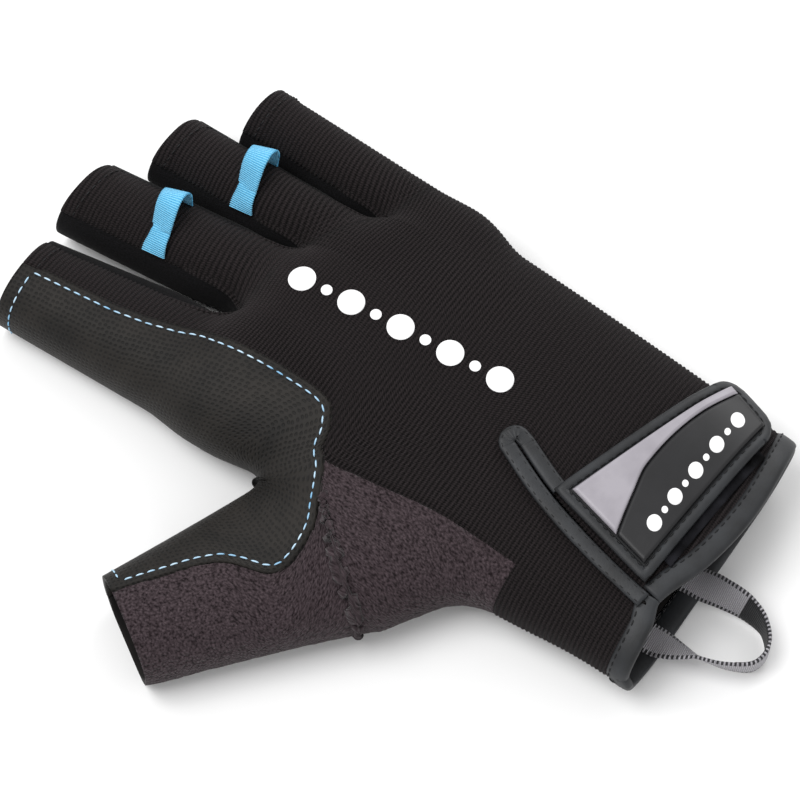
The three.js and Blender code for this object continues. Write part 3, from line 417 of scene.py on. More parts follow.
# %% [markdown]
# ## Seam lines of the back
# The ribs of the stretch cloth run across the hand, so the grid's rows do too, about five
# rows to a rib, and each rib is a real ridge in the mesh.

# %% Lines
COLUMNS = np.array([4, 5, 4, 6]) * 3
HAND_ROWS, CUFF_ROWS, STALL_STEPS = 63 * 5, 40 * 5, 46 * 5
STALL_ROWS, STALL_CLOSER, FOLLOW_POWER = 6, 1.15, 1.5
TURN = [0, 0.5, 0.85, 1]  # share of a stall's fan in its first rows
FORK_RISE, FORK_DEPTH, LITTLE_START = 1.0, 14.0, 0.58
SCALE = np.array([PALM_WIDTH, GLOVE_LENGTH])


def thumb_seam(row):
    """Place on the seam along the thumb side, by row."""
    return follow(THUMB_SEAM, np.asarray(row) / SEAM_ROWS) * SCALE


def slit_at(at):
    """Place on the slit, from its closed end (0) to the cuff (1)."""
    return follow(SLIT, at) * SCALE


def cuff_y(x):
    """Where the cuff's edge lies along the hand."""
    return GLOVE_LENGTH * read(CUFF_EDGE, x / PALM_WIDTH, 1)


def panel_end(x):
    """Where the panels end: inside the folded tape of the cuff."""
    return cuff_y(x) + CUFF_BINDING - EDGE_IN


UNDER_END = float(panel_end(PALM_WIDTH / 2))


def side_seam(y):
    """Where the little-finger side's seam lies, measured over the skin, found by halving."""
    middle, half, high = section(y)
    low, top = half - high, half + high
    for _ in range(HALVINGS):
        x = (low + top) / 2
        above = skin(*hand_seed(middle + x, y))[..., 2] > SEAM_HEIGHT
        low, top = np.where(above, x, low), np.where(above, top, x)
    return middle + low


def spread(a, b, steps):
    """Points at even shares of the way from a to b."""
    return mix(np.array(a, float), np.array(b, float), np.linspace(0, 1, steps + 1)[:, None])


def fork_place(i):
    """Middle of the gap between two stalls, just past the hand's end."""
    y = GLOVE_LENGTH * KNUCKLES[i + 1, 1] + FORK_RISE
    ax, ahalf, _ = stall(FINGERS[i], y)
    bx, bhalf, _ = stall(FINGERS[i + 1], y)
    return np.array([(ax + ahalf + bx - bhalf) / 2, y])


forks = [fork_place(i) for i in range(3)]
LITTLE_Y = GLOVE_LENGTH * LITTLE_START
little_end = np.array([float(side_seam(np.array([LITTLE_Y]))[0]), LITTLE_Y])
knuckle_ends = [thumb_seam(SEAM_ROWS), *forks, little_end]
knuckle_line = np.concatenate([
    spread(knuckle_ends[i], knuckle_ends[i + 1], n)[min(i, 1):] for i, n in enumerate(COLUMNS)
])
slit_top = slit_at(0.0)
slit_right = np.array([float(side_seam(slit_top[1:])[0]), slit_top[1]])
FLAP = COLUMNS[1:].sum()
slit_line = np.concatenate([
    spread(thumb_seam(SLIT_ROW), slit_top, COLUMNS[0]),
    spread(slit_top, slit_right, FLAP)[1:],
])
print("forks between the fingers:", np.round(forks, 1).tolist())

# %% Plans of the back
SIDE_POWER = 3  # how much of the move to the side seam the outer columns take


def back_plan():
    """Rows between the slit line and the knuckle line, their ends kept on the two seams."""
    t = np.linspace(0, 1, HAND_ROWS + 1)[:, None, None]
    plan = mix(slit_line[None], knuckle_line[None], t)
    shift = thumb_seam(mix(SLIT_ROW, SEAM_ROWS, t[:, 0, 0])) - plan[:, 0]
    share = np.clip(np.arange(len(slit_line)) / COLUMNS[0], 0, 1)
    plan = plan + shift[:, None] * ((1 - share) ** FOLLOW_POWER)[None, :, None]
    past = side_seam(plan[:, -1, 1]) - plan[:, -1, 0]
    plan[..., 0] += past[:, None] * np.linspace(0, 1, plan.shape[1])[None] ** SIDE_POWER
    return plan


def side_plan():
    """Rows beside the slit on the thumb side, from the cuff to the slit line."""
    t = np.linspace(0, 1, CUFF_ROWS + 1)
    edge = slit_at(1 - t) - np.array([SLIT_OPENING / 2, 0])
    across = np.linspace(0, 1, COLUMNS[0] + 1)[None, :, None]
    plan = mix(thumb_seam(SLIT_ROW * t)[:, None], edge[:, None], across)
    plan[..., 1] = np.maximum(plan[..., 1], panel_end(plan[..., 0]))
    plan[-1] = slit_line[:COLUMNS[0] + 1]
    return plan


def flap_plan():
    """Rows beside the slit on the other side, as far as the little finger's seam."""
    t = np.linspace(0, 1, CUFF_ROWS + 1)
    edge = slit_at(1 - t) + np.array([SLIT_OPENING / 2, 0])
    edge[-1] = slit_top
    right = side_seam(mix(panel_end(slit_right[0]), slit_right[1], t))
    x = mix(edge[:, None, 0], right[:, None], np.linspace(0, 1, FLAP + 1)[None])
    y = mix(panel_end(x), slit_line[None, COLUMNS[0]:, 1], t[:, None])
    plan = stack(x, y)
    plan[:, -1, 0] = side_seam(plan[:, -1, 1])
    return plan


plans = [back_plan(), side_plan(), flap_plan()]
print("rows and columns:", [plan.shape[:2] for plan in plans])

# %% Finger backs


def tip_y(finger, x):
    """Where a stall's opening lies, slanting across the stall."""
    return finger["tip"][1] * GLOVE_LENGTH - finger["slant"] * (x - finger["tip"][0] * PALM_WIDTH)


def stall_y(finger, x, y, k):
    """Place of row k up a stall, the rows a little closer near the hand."""
    return mix(y, tip_y(finger, x), (k / STALL_ROWS) ** STALL_CLOSER)


def seam_angle(finger, y):
    """Angle from upright at which a stall's fan meets its side seam."""
    x, _, high = stall(finger, y)
    reach = skin(*stall_seam(finger, y, 0.0))
    return 90 + np.degrees(np.arctan2(high - SINK / 2 - reach[..., 2], reach[..., 0] - x))


def stall_seeds(number, k):
    """Seeds of a finger's back: rows k up the stall, from the hand's rays to the stall's fan."""
    finger, start = FINGERS[number], COLUMNS[:number].sum()
    line = knuckle_line[start:start + COLUMNS[number] + 1]
    k = np.asarray(k, float)[:, None]
    y = stall_y(finger, line[None, :, 0], line[None, :, 1], k)
    last = seam_angle(finger, y) if finger["right"] is None else finger["right"]
    share = np.linspace(0, 1, COLUMNS[number] + 1)[None]
    fan = finger_seed(finger, y, mix(finger["left"], last, share))
    hand = hand_seed(line[None, :, 0] + 0 * y, y)
    seeds = blend(hand, fan, np.interp(k, range(len(TURN)), TURN) + 0 * y)
    if finger["right"] is None:
        edge = stall_seam(finger, y[1:, -1], 0.0)
        seeds[0][1:, -1], seeds[1][1:, -1] = edge
    return seeds


stall_k = np.linspace(0, STALL_ROWS, STALL_STEPS + 1)
stalls = [stall_seeds(i, stall_k) for i in range(4)]


def index_top(k):
    """Seeds of the seam on top of the index finger."""
    seeds = stall_seeds(0, k)
    return seeds[0][:, 0], seeds[1][:, 0]


print("finger rows:", len(stall_k), "columns:", COLUMNS.tolist())

# %% [markdown]
# ## From points to a mesh
# The panels come as patches of grid points. Their shared rows are welded, the quads are
# turned outward, and each corner gets a place on the cloth in millimetres as its UV, so that
# a weave can follow the panel. The Solidify modifier then gives the sheet its wall, inward.

# %% Mesh helpers
MM = 0.001
WELD = 0.01
DRAW_MOST = 0.9  # share of a cell that an edge may be drawn in by
shift = Vector((27.9254, -85.2644, 0.0)) * MM  # the hand frame's origin in the row's frame


def walk(points, axis):
    """Distance walked along an axis of a grid of points."""
    steps = np.linalg.norm(np.diff(points, axis=axis), axis=-1)
    zero = np.zeros_like(np.take(steps, [0], axis=axis))
    return np.concatenate([zero, np.cumsum(steps, axis=axis)], axis=axis)


def thread_map(points):
    """UV in millimetres: across from the row's start, and along by the middle column."""
    along = walk(points, 0)[:, points.shape[1] // 2][:, None]
    return stack(walk(points, 1), along + 0 * points[..., 0])


def quads(shape, turn=False):
    """The four corners of each cell of a grid, turned the other way if asked."""
    index = np.arange(shape[0] * shape[1]).reshape(shape)
    a, b, c, d = index[:-1, :-1], index[:-1, 1:], index[1:, 1:], index[1:, :-1]
    faces = np.stack([a, b, c, d] if not turn else [a, d, c, b], axis=-1)
    return faces.reshape(-1, 4)


def add_mesh(name, points, faces, uv=None):
    """Makes an object of points in millimetres and equal-sided faces; uv is one per point or
    one per corner."""
    mesh = bpy.data.meshes.new(name)
    mesh.from_pydata(points * MM + np.array(shift), [], faces.tolist())
    if uv is not None:
        corners = uv if len(uv) == faces.size else uv[faces.reshape(-1)]
        layer = mesh.uv_layers.new(name="thread")
        layer.data.foreach_set("uv", corners.astype(np.float32).reshape(-1))
    mesh.polygons.foreach_set("use_smooth", np.ones(len(faces), bool))
    piece = bpy.data.objects.new(name, mesh)
    bpy.context.scene.collection.objects.link(piece)
    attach(piece, "root")
    return piece


def finish_piece(piece, material, nodes=(), wall=None):
    """Gives a piece its wall and finish, hides the solids it stands for, and says what it made.
    """
    if wall:
        solid = piece.modifiers.new("wall", "SOLIDIFY")
        solid.thickness, solid.offset, solid.use_even_offset = wall * MM, -1, False
    piece.data.materials.append(material)
    if nodes:
        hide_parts(*nodes)
    print(f"{piece.name}: {len(piece.data.vertices)} points, {len(piece.data.polygons)} faces")
    return piece


def draw_in(points, left, right, start=0.0, end=0.0):
    """Draws the edges of a grid in by the given distances; a negative one lets it out."""
    made = points.copy()
    for view, by in ((made, left), (made[:, ::-1], right),
                     (made.transpose(1, 0, 2), start), (made.transpose(1, 0, 2)[:, ::-1], end)):
        if by:
            step = view[:, 1] - view[:, 0]
            room = np.maximum(np.linalg.norm(step, axis=-1, keepdims=True), TINY)
            view[:, 0] += step / room * np.minimum(by, room * DRAW_MOST)
    return made


def add_panel(name, patches):
    """Welds patches, given as points, outward normals and UVs, into one mesh."""
    points, faces, uvs, count = [], [], [], 0
    for grid, normal, uv in patches:
        ahead, aside = grid[1:, :-1] - grid[:-1, :-1], grid[:-1, 1:] - grid[:-1, :-1]
        turn = (np.cross(aside, ahead) * normal[:-1, :-1]).sum() < 0
        faces.append(quads(grid.shape[:2], turn) + count)
        points.append(grid.reshape(-1, 3))
        uvs.append(uv.reshape(-1, 2))
        count += grid.shape[0] * grid.shape[1]
    points, faces, uvs = np.concatenate(points), np.concatenate(faces), np.concatenate(uvs)
    keys = np.round(points / WELD).astype(np.int64)
    _, first, same = np.unique(keys, axis=0, return_index=True, return_inverse=True)
    same = same.reshape(-1)
    corner_uv = uvs[faces.reshape(-1)].reshape(-1, 4, 2)
    faces = same[faces]
    ordered = np.sort(faces, axis=1)
    whole = (ordered[:, 1:] != ordered[:, :-1]).all(axis=1)
    return add_mesh(name, points[first], faces[whole], corner_uv[whole].reshape(-1, 2))


print("hand frame to row frame, m:", [round(v, 4) for v in shift])

# %% [markdown]
# ## Finishes
# One small function adds a node with its settings and links. Colours are sRGB hex values as
# seen on the object, turned to linear light. Cloth is patterned along its own threads, so its
# materials read the panel's own UV, which is in millimetres, and each pitch below is a real
# size. Nothing is painted by hand: a pattern made of waves and noise has no edges to hide.

# %% Node helper and colours


def linear(value):
    """sRGB hex to linear light, by the standard's two-part curve."""
    parts = [int(value[i:i + 2], 16) / 255 for i in (1, 3, 5)]
    return (*[c / 12.92 if c <= 0.04045 else ((c + 0.055) / 1.055) ** 2.4 for c in parts], 1)


def node(tree, kind, inputs=(), **settings):
    """Adds a node. Inputs are values, nodes (their first output) or outputs, listed by place or
    keyed by name or place; settings are the node's own properties."""
    made = tree.nodes.new("ShaderNode" + kind)
    for key, value in settings.items():
        setattr(made, key, value)
    for key, value in (inputs.items() if isinstance(inputs, dict) else enumerate(inputs)):
        if isinstance(value, bpy.types.Node):
            value = value.outputs[0]
        if isinstance(value, bpy.types.NodeSocket):
            tree.links.new(value, made.inputs[key])
        else:
            made.inputs[key].default_value = value
    return made


def start_material(name):
    """A named material with an empty node tree."""
    material = bpy.data.materials.new(name)
    material.use_nodes = True
    tree = material.node_tree
    tree.nodes.clear()
    return material, tree


def close_material(tree, color, height, depth, shader):
    """Ends a material: a Principled shader with a bump of the given depth in millimetres."""
    bump = node(tree, "Bump", {"Strength": 1.0, "Distance": depth * MM, "Height": height})
    surface = node(tree, "BsdfPrincipled", {"Base Color": color, "Normal": bump, **shader})
    node(tree, "OutputMaterial", [surface])


def thread_ways(tree):
    """The panel's UV in millimetres, and its two parts, across and along."""
    uv = node(tree, "UVMap", uv_map="thread")
    split = node(tree, "SeparateXYZ", [uv])
    return uv, split.outputs[0], split.outputs[1]


def wave(tree, place, pitch):
    """A smooth wave from -1 to 1: sin(2 pi place / pitch)."""
    turn = node(tree, "Math", [place, 2 * math.pi / pitch], operation="MULTIPLY")
    return node(tree, "Math", [turn], operation="SINE")


def weigh(tree, *parts):
    """A sum of parts, each times its weight."""
    total = 0.0
    for part, weight in parts:
        total = node(tree, "Math", [part, weight, total], operation="MULTIPLY_ADD")
    return total


def shade(tree, factor, low, high, start=0.35, end=0.65):
    """A colour between two hex values, as the factor goes from start to end."""
    span = node(tree, "MapRange", [factor, start, end])
    return node(tree, "Mix", {0: span, 6: linear(low), 7: linear(high)},
                data_type="RGBA").outputs[2]


print("dark grey in linear light:", round(linear("#282526")[0], 4))

# %% [markdown]
# ### Stretch cloths
# The back is a polyester knit with raised ribs. They are in the mesh, and the material adds
# the fine columns of stitches that cross them, 0.67 mm apart, and paints shade into the
# grooves between the ribs and the columns. The walls between the fingers are a smooth
# elastane knit, whose cells are so fine that the eye sees an even, dull black. Cloth has next
# to no gloss, only a faint sheen from its fuzz.

# %% Stretch cloths
STITCH_COLUMN, KNIT_CELL = 0.67, 0.7


def ribbed_cloth():
    """Relief: 0.6 rib + 0.22 column (rib + 1.4) + fuzz. Tone: 0.22 rib + 0.1 column + fuzz."""
    material, tree = start_material("ribbed polyester knit")
    uv, across, along = thread_ways(tree)
    rib, column = wave(tree, along, RIB), wave(tree, across, STITCH_COLUMN)
    fuzz = node(tree, "TexNoise", {"Vector": uv, "Scale": 2.2, "Detail": 3.0})
    raised = node(tree, "Math", [rib, 1.4], operation="ADD")
    cells = node(tree, "Math", [column, raised], operation="MULTIPLY")
    # painted shade: the rib and column waves darken the tone in the grooves, where the relief is
    # low
    tone_with_painted_shade = weigh(tree, (rib, 0.22), (column, 0.1), (fuzz, 1.0))
    height = weigh(tree, (rib, 0.6), (fuzz, 1.0), (cells, 0.22))
    close_material(tree, shade(tree, tone_with_painted_shade, "#080707", "#2b2627", 0.2, 0.85), height, 0.16, {
        "Roughness": 0.95, "Sheen Weight": 0.03, "Sheen Roughness": 0.5,
        "Specular IOR Level": 0.1})
    return material


def smooth_knit():
    """Relief: 0.4 times the two thread waves multiplied, and fuzz. Tone: fuzz."""
    material, tree = start_material("smooth elastane knit")
    uv, across, along = thread_ways(tree)
    cells = node(tree, "Math", [wave(tree, across, KNIT_CELL), wave(tree, along, KNIT_CELL)],
                 operation="MULTIPLY")
    fuzz = node(tree, "TexNoise", {"Vector": uv, "Scale": 1.8, "Detail": 3.0})
    height = weigh(tree, (cells, 0.4), (fuzz, 1.0))
    close_material(tree, shade(tree, fuzz, "#060606", "#121113"), height, 0.08, {
        "Roughness": 0.9, "Sheen Weight": 0.03, "Specular IOR Level": 0.12})
    return material


RIBBED, KNIT = ribbed_cloth(), smooth_knit()
print("cloths:", RIBBED.name, "and", KNIT.name)

# %% [markdown]
# ### Leathers
# The grip is goatskin with an embossed grid of small dimples, 1.3 mm apart: pits at the
# centres of round cells, with shade painted into them. Its warm black has a dull shine where
# it bends. The palm is the same skin with its suede side out, so it is rougher, and mottled
# on the scale of a hand.

# %% Leathers
DIMPLE = 1.3


def dimpled_leather():
    """Relief: pits at the cells' centres and 0.4 of a fine grain. Tone: 0.3 pit + cloud."""
    material, tree = start_material("embossed goat leather")
    uv = node(tree, "UVMap", uv_map="thread")
    dimple = node(tree, "TexVoronoi", {"Vector": uv, "Scale": 1 / DIMPLE, "Randomness": 0.3},
                  voronoi_dimensions="2D").outputs["Distance"]
    grain = node(tree, "TexNoise", {"Vector": uv, "Scale": 3.0, "Detail": 4.0})
    cloud = node(tree, "TexNoise", {"Vector": uv, "Scale": 0.08, "Detail": 3.0})
    pit = node(tree, "MapRange", [dimple, 0.12, 0.42], interpolation_type="SMOOTHSTEP")
    # painted shade: the pit term also darkens the tone in each dimple's hollow
    tone_with_painted_shade = weigh(tree, (pit, 0.3), (cloud, 1.0))
    height = weigh(tree, (pit, 1.0), (grain, 0.4))
    close_material(tree, shade(tree, tone_with_painted_shade, "#0b0a09", "#221f1c", 0.45, 0.95), height, 0.12, {
        "Roughness": 0.6, "Specular IOR Level": 0.22})
    return material


def palm_leather():
    """Relief: a fine grain. Tone: a slow cloud."""
    material, tree = start_material("suede goat leather")
    uv = node(tree, "UVMap", uv_map="thread")
    grain = node(tree, "TexNoise", {"Vector": uv, "Scale": 2.5, "Detail": 6.0})
    cloud = node(tree, "TexNoise", {"Vector": uv, "Scale": 0.06, "Detail": 3.0})
    close_material(tree, shade(tree, cloud, "#0e0d0d", "#1e1c1b"), grain, 0.1, {
        "Roughness": 0.85, "Specular IOR Level": 0.15, "Sheen Weight": 0.05})
    return material


GRIP, PALM = dimpled_leather(), palm_leather()
print("leathers:", GRIP.name, "and", PALM.name)

# %% [markdown]
# ### Towelling
# Looped terry, whose loops stand up and lie every way. Light is painted on the loops' tips and
# shade into the gaps between them, which gives the eye a coarse, soft speckle with no shine at
# all. The loops are 0.8 mm apart here, a little coarser than real ones, so that they show.

# %% Towelling finish
LOOPS_PER_MM = 1.25


def towelling():
    """Relief: fuzz - 0.9 loops, the distance from each loop's tip. Tone: fuzz - 0.35 loops."""
    material, tree = start_material("looped terry towelling")
    uv = node(tree, "UVMap", uv_map="thread")
    loops = node(tree, "TexVoronoi", {"Vector": uv, "Scale": LOOPS_PER_MM}).outputs["Distance"]
    fuzz = node(tree, "TexNoise", {"Vector": uv, "Scale": 1.6, "Detail": 5.0})
    # painted light and shade: the tone is lightest at each loop's tip and darkens into the gaps,
    # as the relief does
    tone_with_painted_shade = weigh(tree, (loops, -0.35), (fuzz, 1.0))
    height = weigh(tree, (loops, -0.9), (fuzz, 1.0))
    close_material(tree, shade(tree, tone_with_painted_shade, "#1d1719", "#52474b", 0.1, 0.62), height, 0.45, {
        "Roughness": 1.0, "Sheen Weight": 0.12, "Sheen Roughness": 0.4,
        "Specular IOR Level": 0.08})
    return material


TERRY = towelling()
print("towelling:", TERRY.name)

# %% [markdown]
# ### Tapes, rubber, thread
# The bindings are a coated tape folded over the edge: smooth, a dull dark grey, faintly
# wrinkled. The two strap patches are moulded rubber, one satin and one matt. Thread is twisted
# polyester. The ribbons are woven: cross ribs over fine fibres, and the grey one has a dotted
# edge where the weft turns back.

# %% Smooth finishes
CLOUD_SCALE = 120.0  # per metre


def plain(name, low, high, roughness, grain, depth, specular=0.5):
    """Soft mottling between two tones, and a fine grain, so many per mm, as relief."""
    material, tree = start_material(name)
    place = node(tree, "TexCoord").outputs["Object"]
    cloud = node(tree, "TexNoise", {"Vector": place, "Scale": CLOUD_SCALE, "Detail": 3.0})
    bumps = node(tree, "TexNoise", {"Vector": place, "Scale": grain / MM, "Detail": 3.0})
    close_material(tree, shade(tree, cloud, low, high), bumps, depth, {
        "Roughness": roughness, "Specular IOR Level": specular})
    return material


BINDING = plain("coated binding tape", "#1c1d1f", "#292b2e", 0.5, 1.5, 0.04, 0.35)
STRAP = plain("coated strap fabric", "#151617", "#1f2022", 0.55, 1.2, 0.04, 0.3)
GREY = plain("moulded grey rubber", "#908c93", "#9d99a0", 0.38, 0.5, 0.01)
BLACK = plain("moulded black rubber", "#161618", "#1d1d1f", 0.42, 0.8, 0.015, 0.35)
LOOPS = plain("loop fastener pile", "#070708", "#202024", 1.0, 1.3, 0.4, 0.1)
DARK_THREAD = plain("black polyester thread", "#0c0c0d", "#1b1b1d", 0.6, 6.0, 0.03, 0.3)
PALE_THREAD = plain("pale blue polyester thread", "#7fb4d8", "#c8e1f1", 0.55, 6.0, 0.03)
PRINT = plain("white transfer print", "#e4e3e4", "#f4f4f4", 0.6, 1.5, 0.02)
print("smooth finishes done, materials so far:", len(bpy.data.materials))

# %% Woven finishes
RIBBON_RIB, TAPE_RIB, SELVEDGE, SELVEDGE_DOT = 0.55, 0.5, 1.0, 1.1


def woven(name, low, high, pitch, edge_color=None):
    """Relief: cross ribs and fibres. Tone: 0.22 rib + fibre. If asked, dots of another colour
    lie within a selvedge's width of each long edge."""
    material, tree = start_material(name)
    uv, across, along = thread_ways(tree)
    rib = wave(tree, along, pitch)
    fibre = node(tree, "TexNoise", {"Vector": uv, "Scale": 3.0, "Detail": 4.0})
    # painted shade: the rib wave in the colour darkens the troughs between the cross ribs, as the
    # relief does
    color = shade(tree, weigh(tree, (rib, 0.22), (fibre, 1.0)), low, high, 0.25, 0.75)
    if edge_color:
        off = node(tree, "Math", [across, TAPE_WIDTH / 2], operation="SUBTRACT")
        out = node(tree, "Math", [off], operation="ABSOLUTE")
        border = node(tree, "Math", [out, TAPE_WIDTH / 2 - SELVEDGE], operation="GREATER_THAN")
        dots = node(tree, "Math", [wave(tree, along, SELVEDGE_DOT), -0.1],
                    operation="GREATER_THAN")
        dotted = node(tree, "Math", [border, dots], operation="MULTIPLY")
        color = node(tree, "Mix", {0: dotted, 6: color, 7: linear(edge_color)},
                     data_type="RGBA").outputs[2]
    close_material(tree, color, weigh(tree, (rib, 1.0), (fibre, 1.0)), 0.1, {
        "Roughness": 0.75, "Sheen Weight": 0.1, "Specular IOR Level": 0.3})
    return material


RIBBON = woven("blue grosgrain ribbon", "#3f9fd0", "#86d4f6", RIBBON_RIB)
TAPE = woven("grey woven tape", "#8d8b90", "#bdbbc0", TAPE_RIB, "#2d2d30")
LINING = woven("black woven tape", "#151516", "#2c2c2f", TAPE_RIB)
print("finishes:", len(bpy.data.materials))

# %% [markdown]
# ## Back panel
# One piece of ribbed cloth covers the back of the hand and the four finger backs. It is the
# largest sheet: a patch over the hand, two beside the slit and one for each finger. The ribs
# run straight across the hand and bend round the forks between the fingers. Near each opening
# the cloth is folded back, so the ribs fade into a thicker hem.
# A plane wrapped onto the hand by a modifier would blur the ribs. A grid whose rows follow
# them makes each one a ridge that catches the light.

# %% Back panel
RIB_HEIGHT = 0.34
HEM, HEM_LIFT = 5.0, 0.45
HEM_FADE = 1.0  # on either side of the hem's line
RIB_BEND, BEND_REACH = 4.0, 9.0


def rib_place(points):
    """Where points lie across the ribs, in mm: y, and more round a fork, so that the ribs
    bend about it towards the wrist."""
    x, y = points[..., 0], points[..., 1]
    near = [np.exp(-((x - fx) ** 2 + (y - fy) ** 2) / (2 * BEND_REACH**2)) for fx, fy in forks]
    return y + RIB_BEND * sum(near)


def rib_patch(points, inset=(0.0, 0.0), hem=None):
    """Adds ribs to a patch; hem is each point's distance from the opening."""
    points = draw_in(points, *inset)
    normal = skin_normal(points)
    place = rib_place(points)
    lift = RIB_HEIGHT * (0.5 - 0.5 * np.cos(2 * np.pi * place / RIB))
    if hem is not None:
        near = 1 - ease(np.clip((hem - HEM + HEM_FADE) / (2 * HEM_FADE), 0, 1))
        lift = lift * (1 - 0.5 * near) + HEM_LIFT * near
    return points + normal * lift[..., None], normal, stack(walk(points, 1), place)


hand_points = [skin(*hand_seed(plan[..., 0], plan[..., 1])) for plan in plans]
finger_points = [skin(*seeds) for seeds in stalls]

patches = [rib_patch(points) for points in hand_points]
for finger, points in zip(FINGERS, finger_points):
    to_end = tip_y(finger, points[..., 0]) - points[..., 1]
    patches.append(rib_patch(points, hem=to_end))
back_cloth = add_panel("back_cloth", patches)
finish_piece(back_cloth, RIBBED, ["back_panel"], CLOTH)

# %% [markdown]
# ## Fourchettes
# The side walls between two fingers are smooth knit. Each runs down one stall, round the fork
# and up the next, and bulges a little between its two seams. In the fork itself the rays fan
# out from one place inside the hand.
# A strip lofted between the two stalls would cut through the fork, while rays from inside
# always end on the skin.

# %% Fourchettes
SIDE_COLUMNS = 24
BULGE = 1.6
FORK_STEPS = 60
FORK_FLAT, FORK_GROW = 0.1, 0.3  # no bulge at the fork itself, and where it is full
fork_k = np.linspace(0, STALL_ROWS, FORK_STEPS + 1)


def low_edge(number, finger, k, heading):
    """Points of a side wall's lower seam on one stall; below row 1 they swing to the fork."""
    x, y = forks[number]
    rows = skin(*stall_seam(finger, stall_y(finger, x, y, np.maximum(k, 1)), float(heading)))
    base = skin(*seam_seed(np.array([x]), np.array([y - FORK_DEPTH]), 90.0))
    return settle(mix(base, rows, np.minimum(k, 1)[:, None]))


def side_wall(number):
    """Rows of points down one stall, through the fork and up the next one."""
    x, y = forks[number]
    heart = np.array([x, y - FORK_DEPTH, HAND_HEIGHT * MID_HEIGHT])
    far, near = np.maximum(fork_k, 1), np.minimum(fork_k, 1)[:, None, None]
    halves, web = [], None
    for side, pick in ((0, -1), (1, 0)):
        seeds = stall_seeds(number + side, fork_k)
        top = tuple(a[:, pick] for a in seeds)
        edge = skin(*top)
        far_top = tuple(a[:, pick] for a in stall_seeds(number + side, far))
        low = stall_seam(FINGERS[number + side], stall_y(FINGERS[number + side], x, y, far),
                         180.0 * side)
        rows = skin(*ruled(far_top, low, SIDE_COLUMNS))
        if web is None:
            foot = low_edge(number, FINGERS[number], fork_k[:1], 0)[0]
            aims = spread(edge[0], foot, SIDE_COLUMNS)
            web = skin(np.broadcast_to(heart, aims.shape), unit(aims - heart))
            web[0], web[-1] = edge[0], foot
        points = mix(web[None], rows, near)
        down = np.linspace(1, 0, SIDE_COLUMNS + 1)[None, :, None]
        points = points + (edge - points[:, 0])[:, None] * down * (near < 1)
        halves.append(settle(points))
    return np.concatenate([halves[0][::-1], halves[1][1:]])


fourchettes = []
for number, name in enumerate(("index_middle", "middle_ring", "ring_little")):
    points = draw_in(side_wall(number), MEET, MEET)
    across = np.sin(np.pi * np.linspace(0, 1, SIDE_COLUMNS + 1))[None]
    away = np.abs(np.linspace(-1, 1, len(points)))
    rows = np.clip((away - FORK_FLAT) / FORK_GROW, 0, 1)[:, None]
    points = points + skin_normal(points) * (BULGE * ease(rows) * across)[..., None]
    fourchettes.append(points)
    panel = add_panel(f"side_wall_{name}", [(points, skin_normal(points), thread_map(points))])
    finish_piece(panel, KNIT, [f"fourchette_{name}"], CLOTH)

# %% [markdown]
# ## Grip leather, towelling and wrist side
# Three panels share the seam line along the thumb side. The leather wraps the index finger's
# outer side and the web and runs out over the thumb as a lobe; towelling covers the back of
# the thumb, for wiping the face; a ribbed strip closes the wrist.
# They could be cut out of one mesh, but a cut leaves ragged cells along it. So each panel
# is a grid of its own, ruled between two seams that it shares with its neighbours.

# %% Thumb side seams
WEB_ROOT, HEEL_END = np.array([-0.44, 0.475]) * SCALE, np.array([-0.3, 0.2]) * SCALE
WEB_TURN, STALL_START, FIRST_TURN = 0.8, 0.1, 0.3
THUMB_HEADING = THUMB["heading"] - 90
WEB_HEADING = (180 + THUMB_HEADING) / 2
FINE = 10


def steps(a, b, rows):
    """Even steps from a to b, FINE of them to each row."""
    return np.linspace(a, b, rows * FINE + 1)


def seam_top(s):
    """Seeds of the thumb side's seam, by row, no lower than the panels' end."""
    place = thumb_seam(s)
    return hand_seed(place[:, 0], np.maximum(place[:, 1], panel_end(place[:, 0])))


def lobe_top(t):
    """Seeds of the seam on top of the thumb, from its root (0) to its end (1)."""
    out, up = follow(LOBE_SEAM, t).T
    half, high = thumb_at(out * THUMB_LENGTH)
    place = thumb_point(out * THUMB_LENGTH, up * half)
    return stack(place[:, 0], place[:, 1], high - SINK / 2), stack(0 * t, 0, 1)


def index_low(k):
    """Seeds of the index finger's outer lower seam, row k up the stall."""
    x, y = thumb_seam(SEAM_ROWS)
    return stall_seam(FINGERS[0], stall_y(FINGERS[0], x, y, k), 180.0)


def web_low(t):
    """Seeds of the lower seam from the index finger to the web's corner."""
    first = index_low(np.array([0.0]))[0][0, :2]
    place = mix(first, WEB_ROOT, (t**WEB_TURN)[:, None])
    return seam_seed(place[:, 0], place[:, 1], mix(180, WEB_HEADING, ease(t)))


def thumb_low(t):
    """Seeds of the thumb's lower seam on the web's side, root to end."""
    turn = np.clip(t * 2 + FIRST_TURN, 0, 1)
    place = mix(WEB_ROOT, thumb_point(mix(STALL_START, 1, t) * THUMB_LENGTH), turn[:, None])
    return seam_seed(place[:, 0], place[:, 1], mix(WEB_HEADING, THUMB_HEADING, turn))


def thumb_back(t):
    """Seeds of the thumb's lower seam on the wrist's side, end to root."""
    place = thumb_point(mix(1, STALL_START, t) * THUMB_LENGTH)
    return seam_seed(place[:, 0], place[:, 1], THUMB_HEADING + 180.0)


def heel_low(t):
    """Seeds of the lower seam from the thumb's root to the wrist."""
    place = mix(thumb_point(STALL_START * THUMB_LENGTH), HEEL_END, t[:, None])
    return seam_seed(place[:, 0], place[:, 1], mix(THUMB_HEADING + 180, 180, t))


def wrist_low(s):
    """Seeds of the wrist's lower seam, by row of the seam above it."""
    y = seam_top(s)[0][:, 1]
    return seam_seed(np.full(len(s), HEEL_END[0]), np.maximum(y, UNDER_END), 180.0)


print("web's corner, mm:", np.round(WEB_ROOT, 1), "towelling's end, mm:", np.round(HEEL_END, 1))

# %% Grip leather
LEATHER_LIFT = 0.6
LEATHER_OVER = 0.9  # how far the leather laps over its neighbours
GRIP_COLUMNS = 60
WEB_ROWS, THUMB_ROWS, HEEL_ROWS = 8, 6, 6

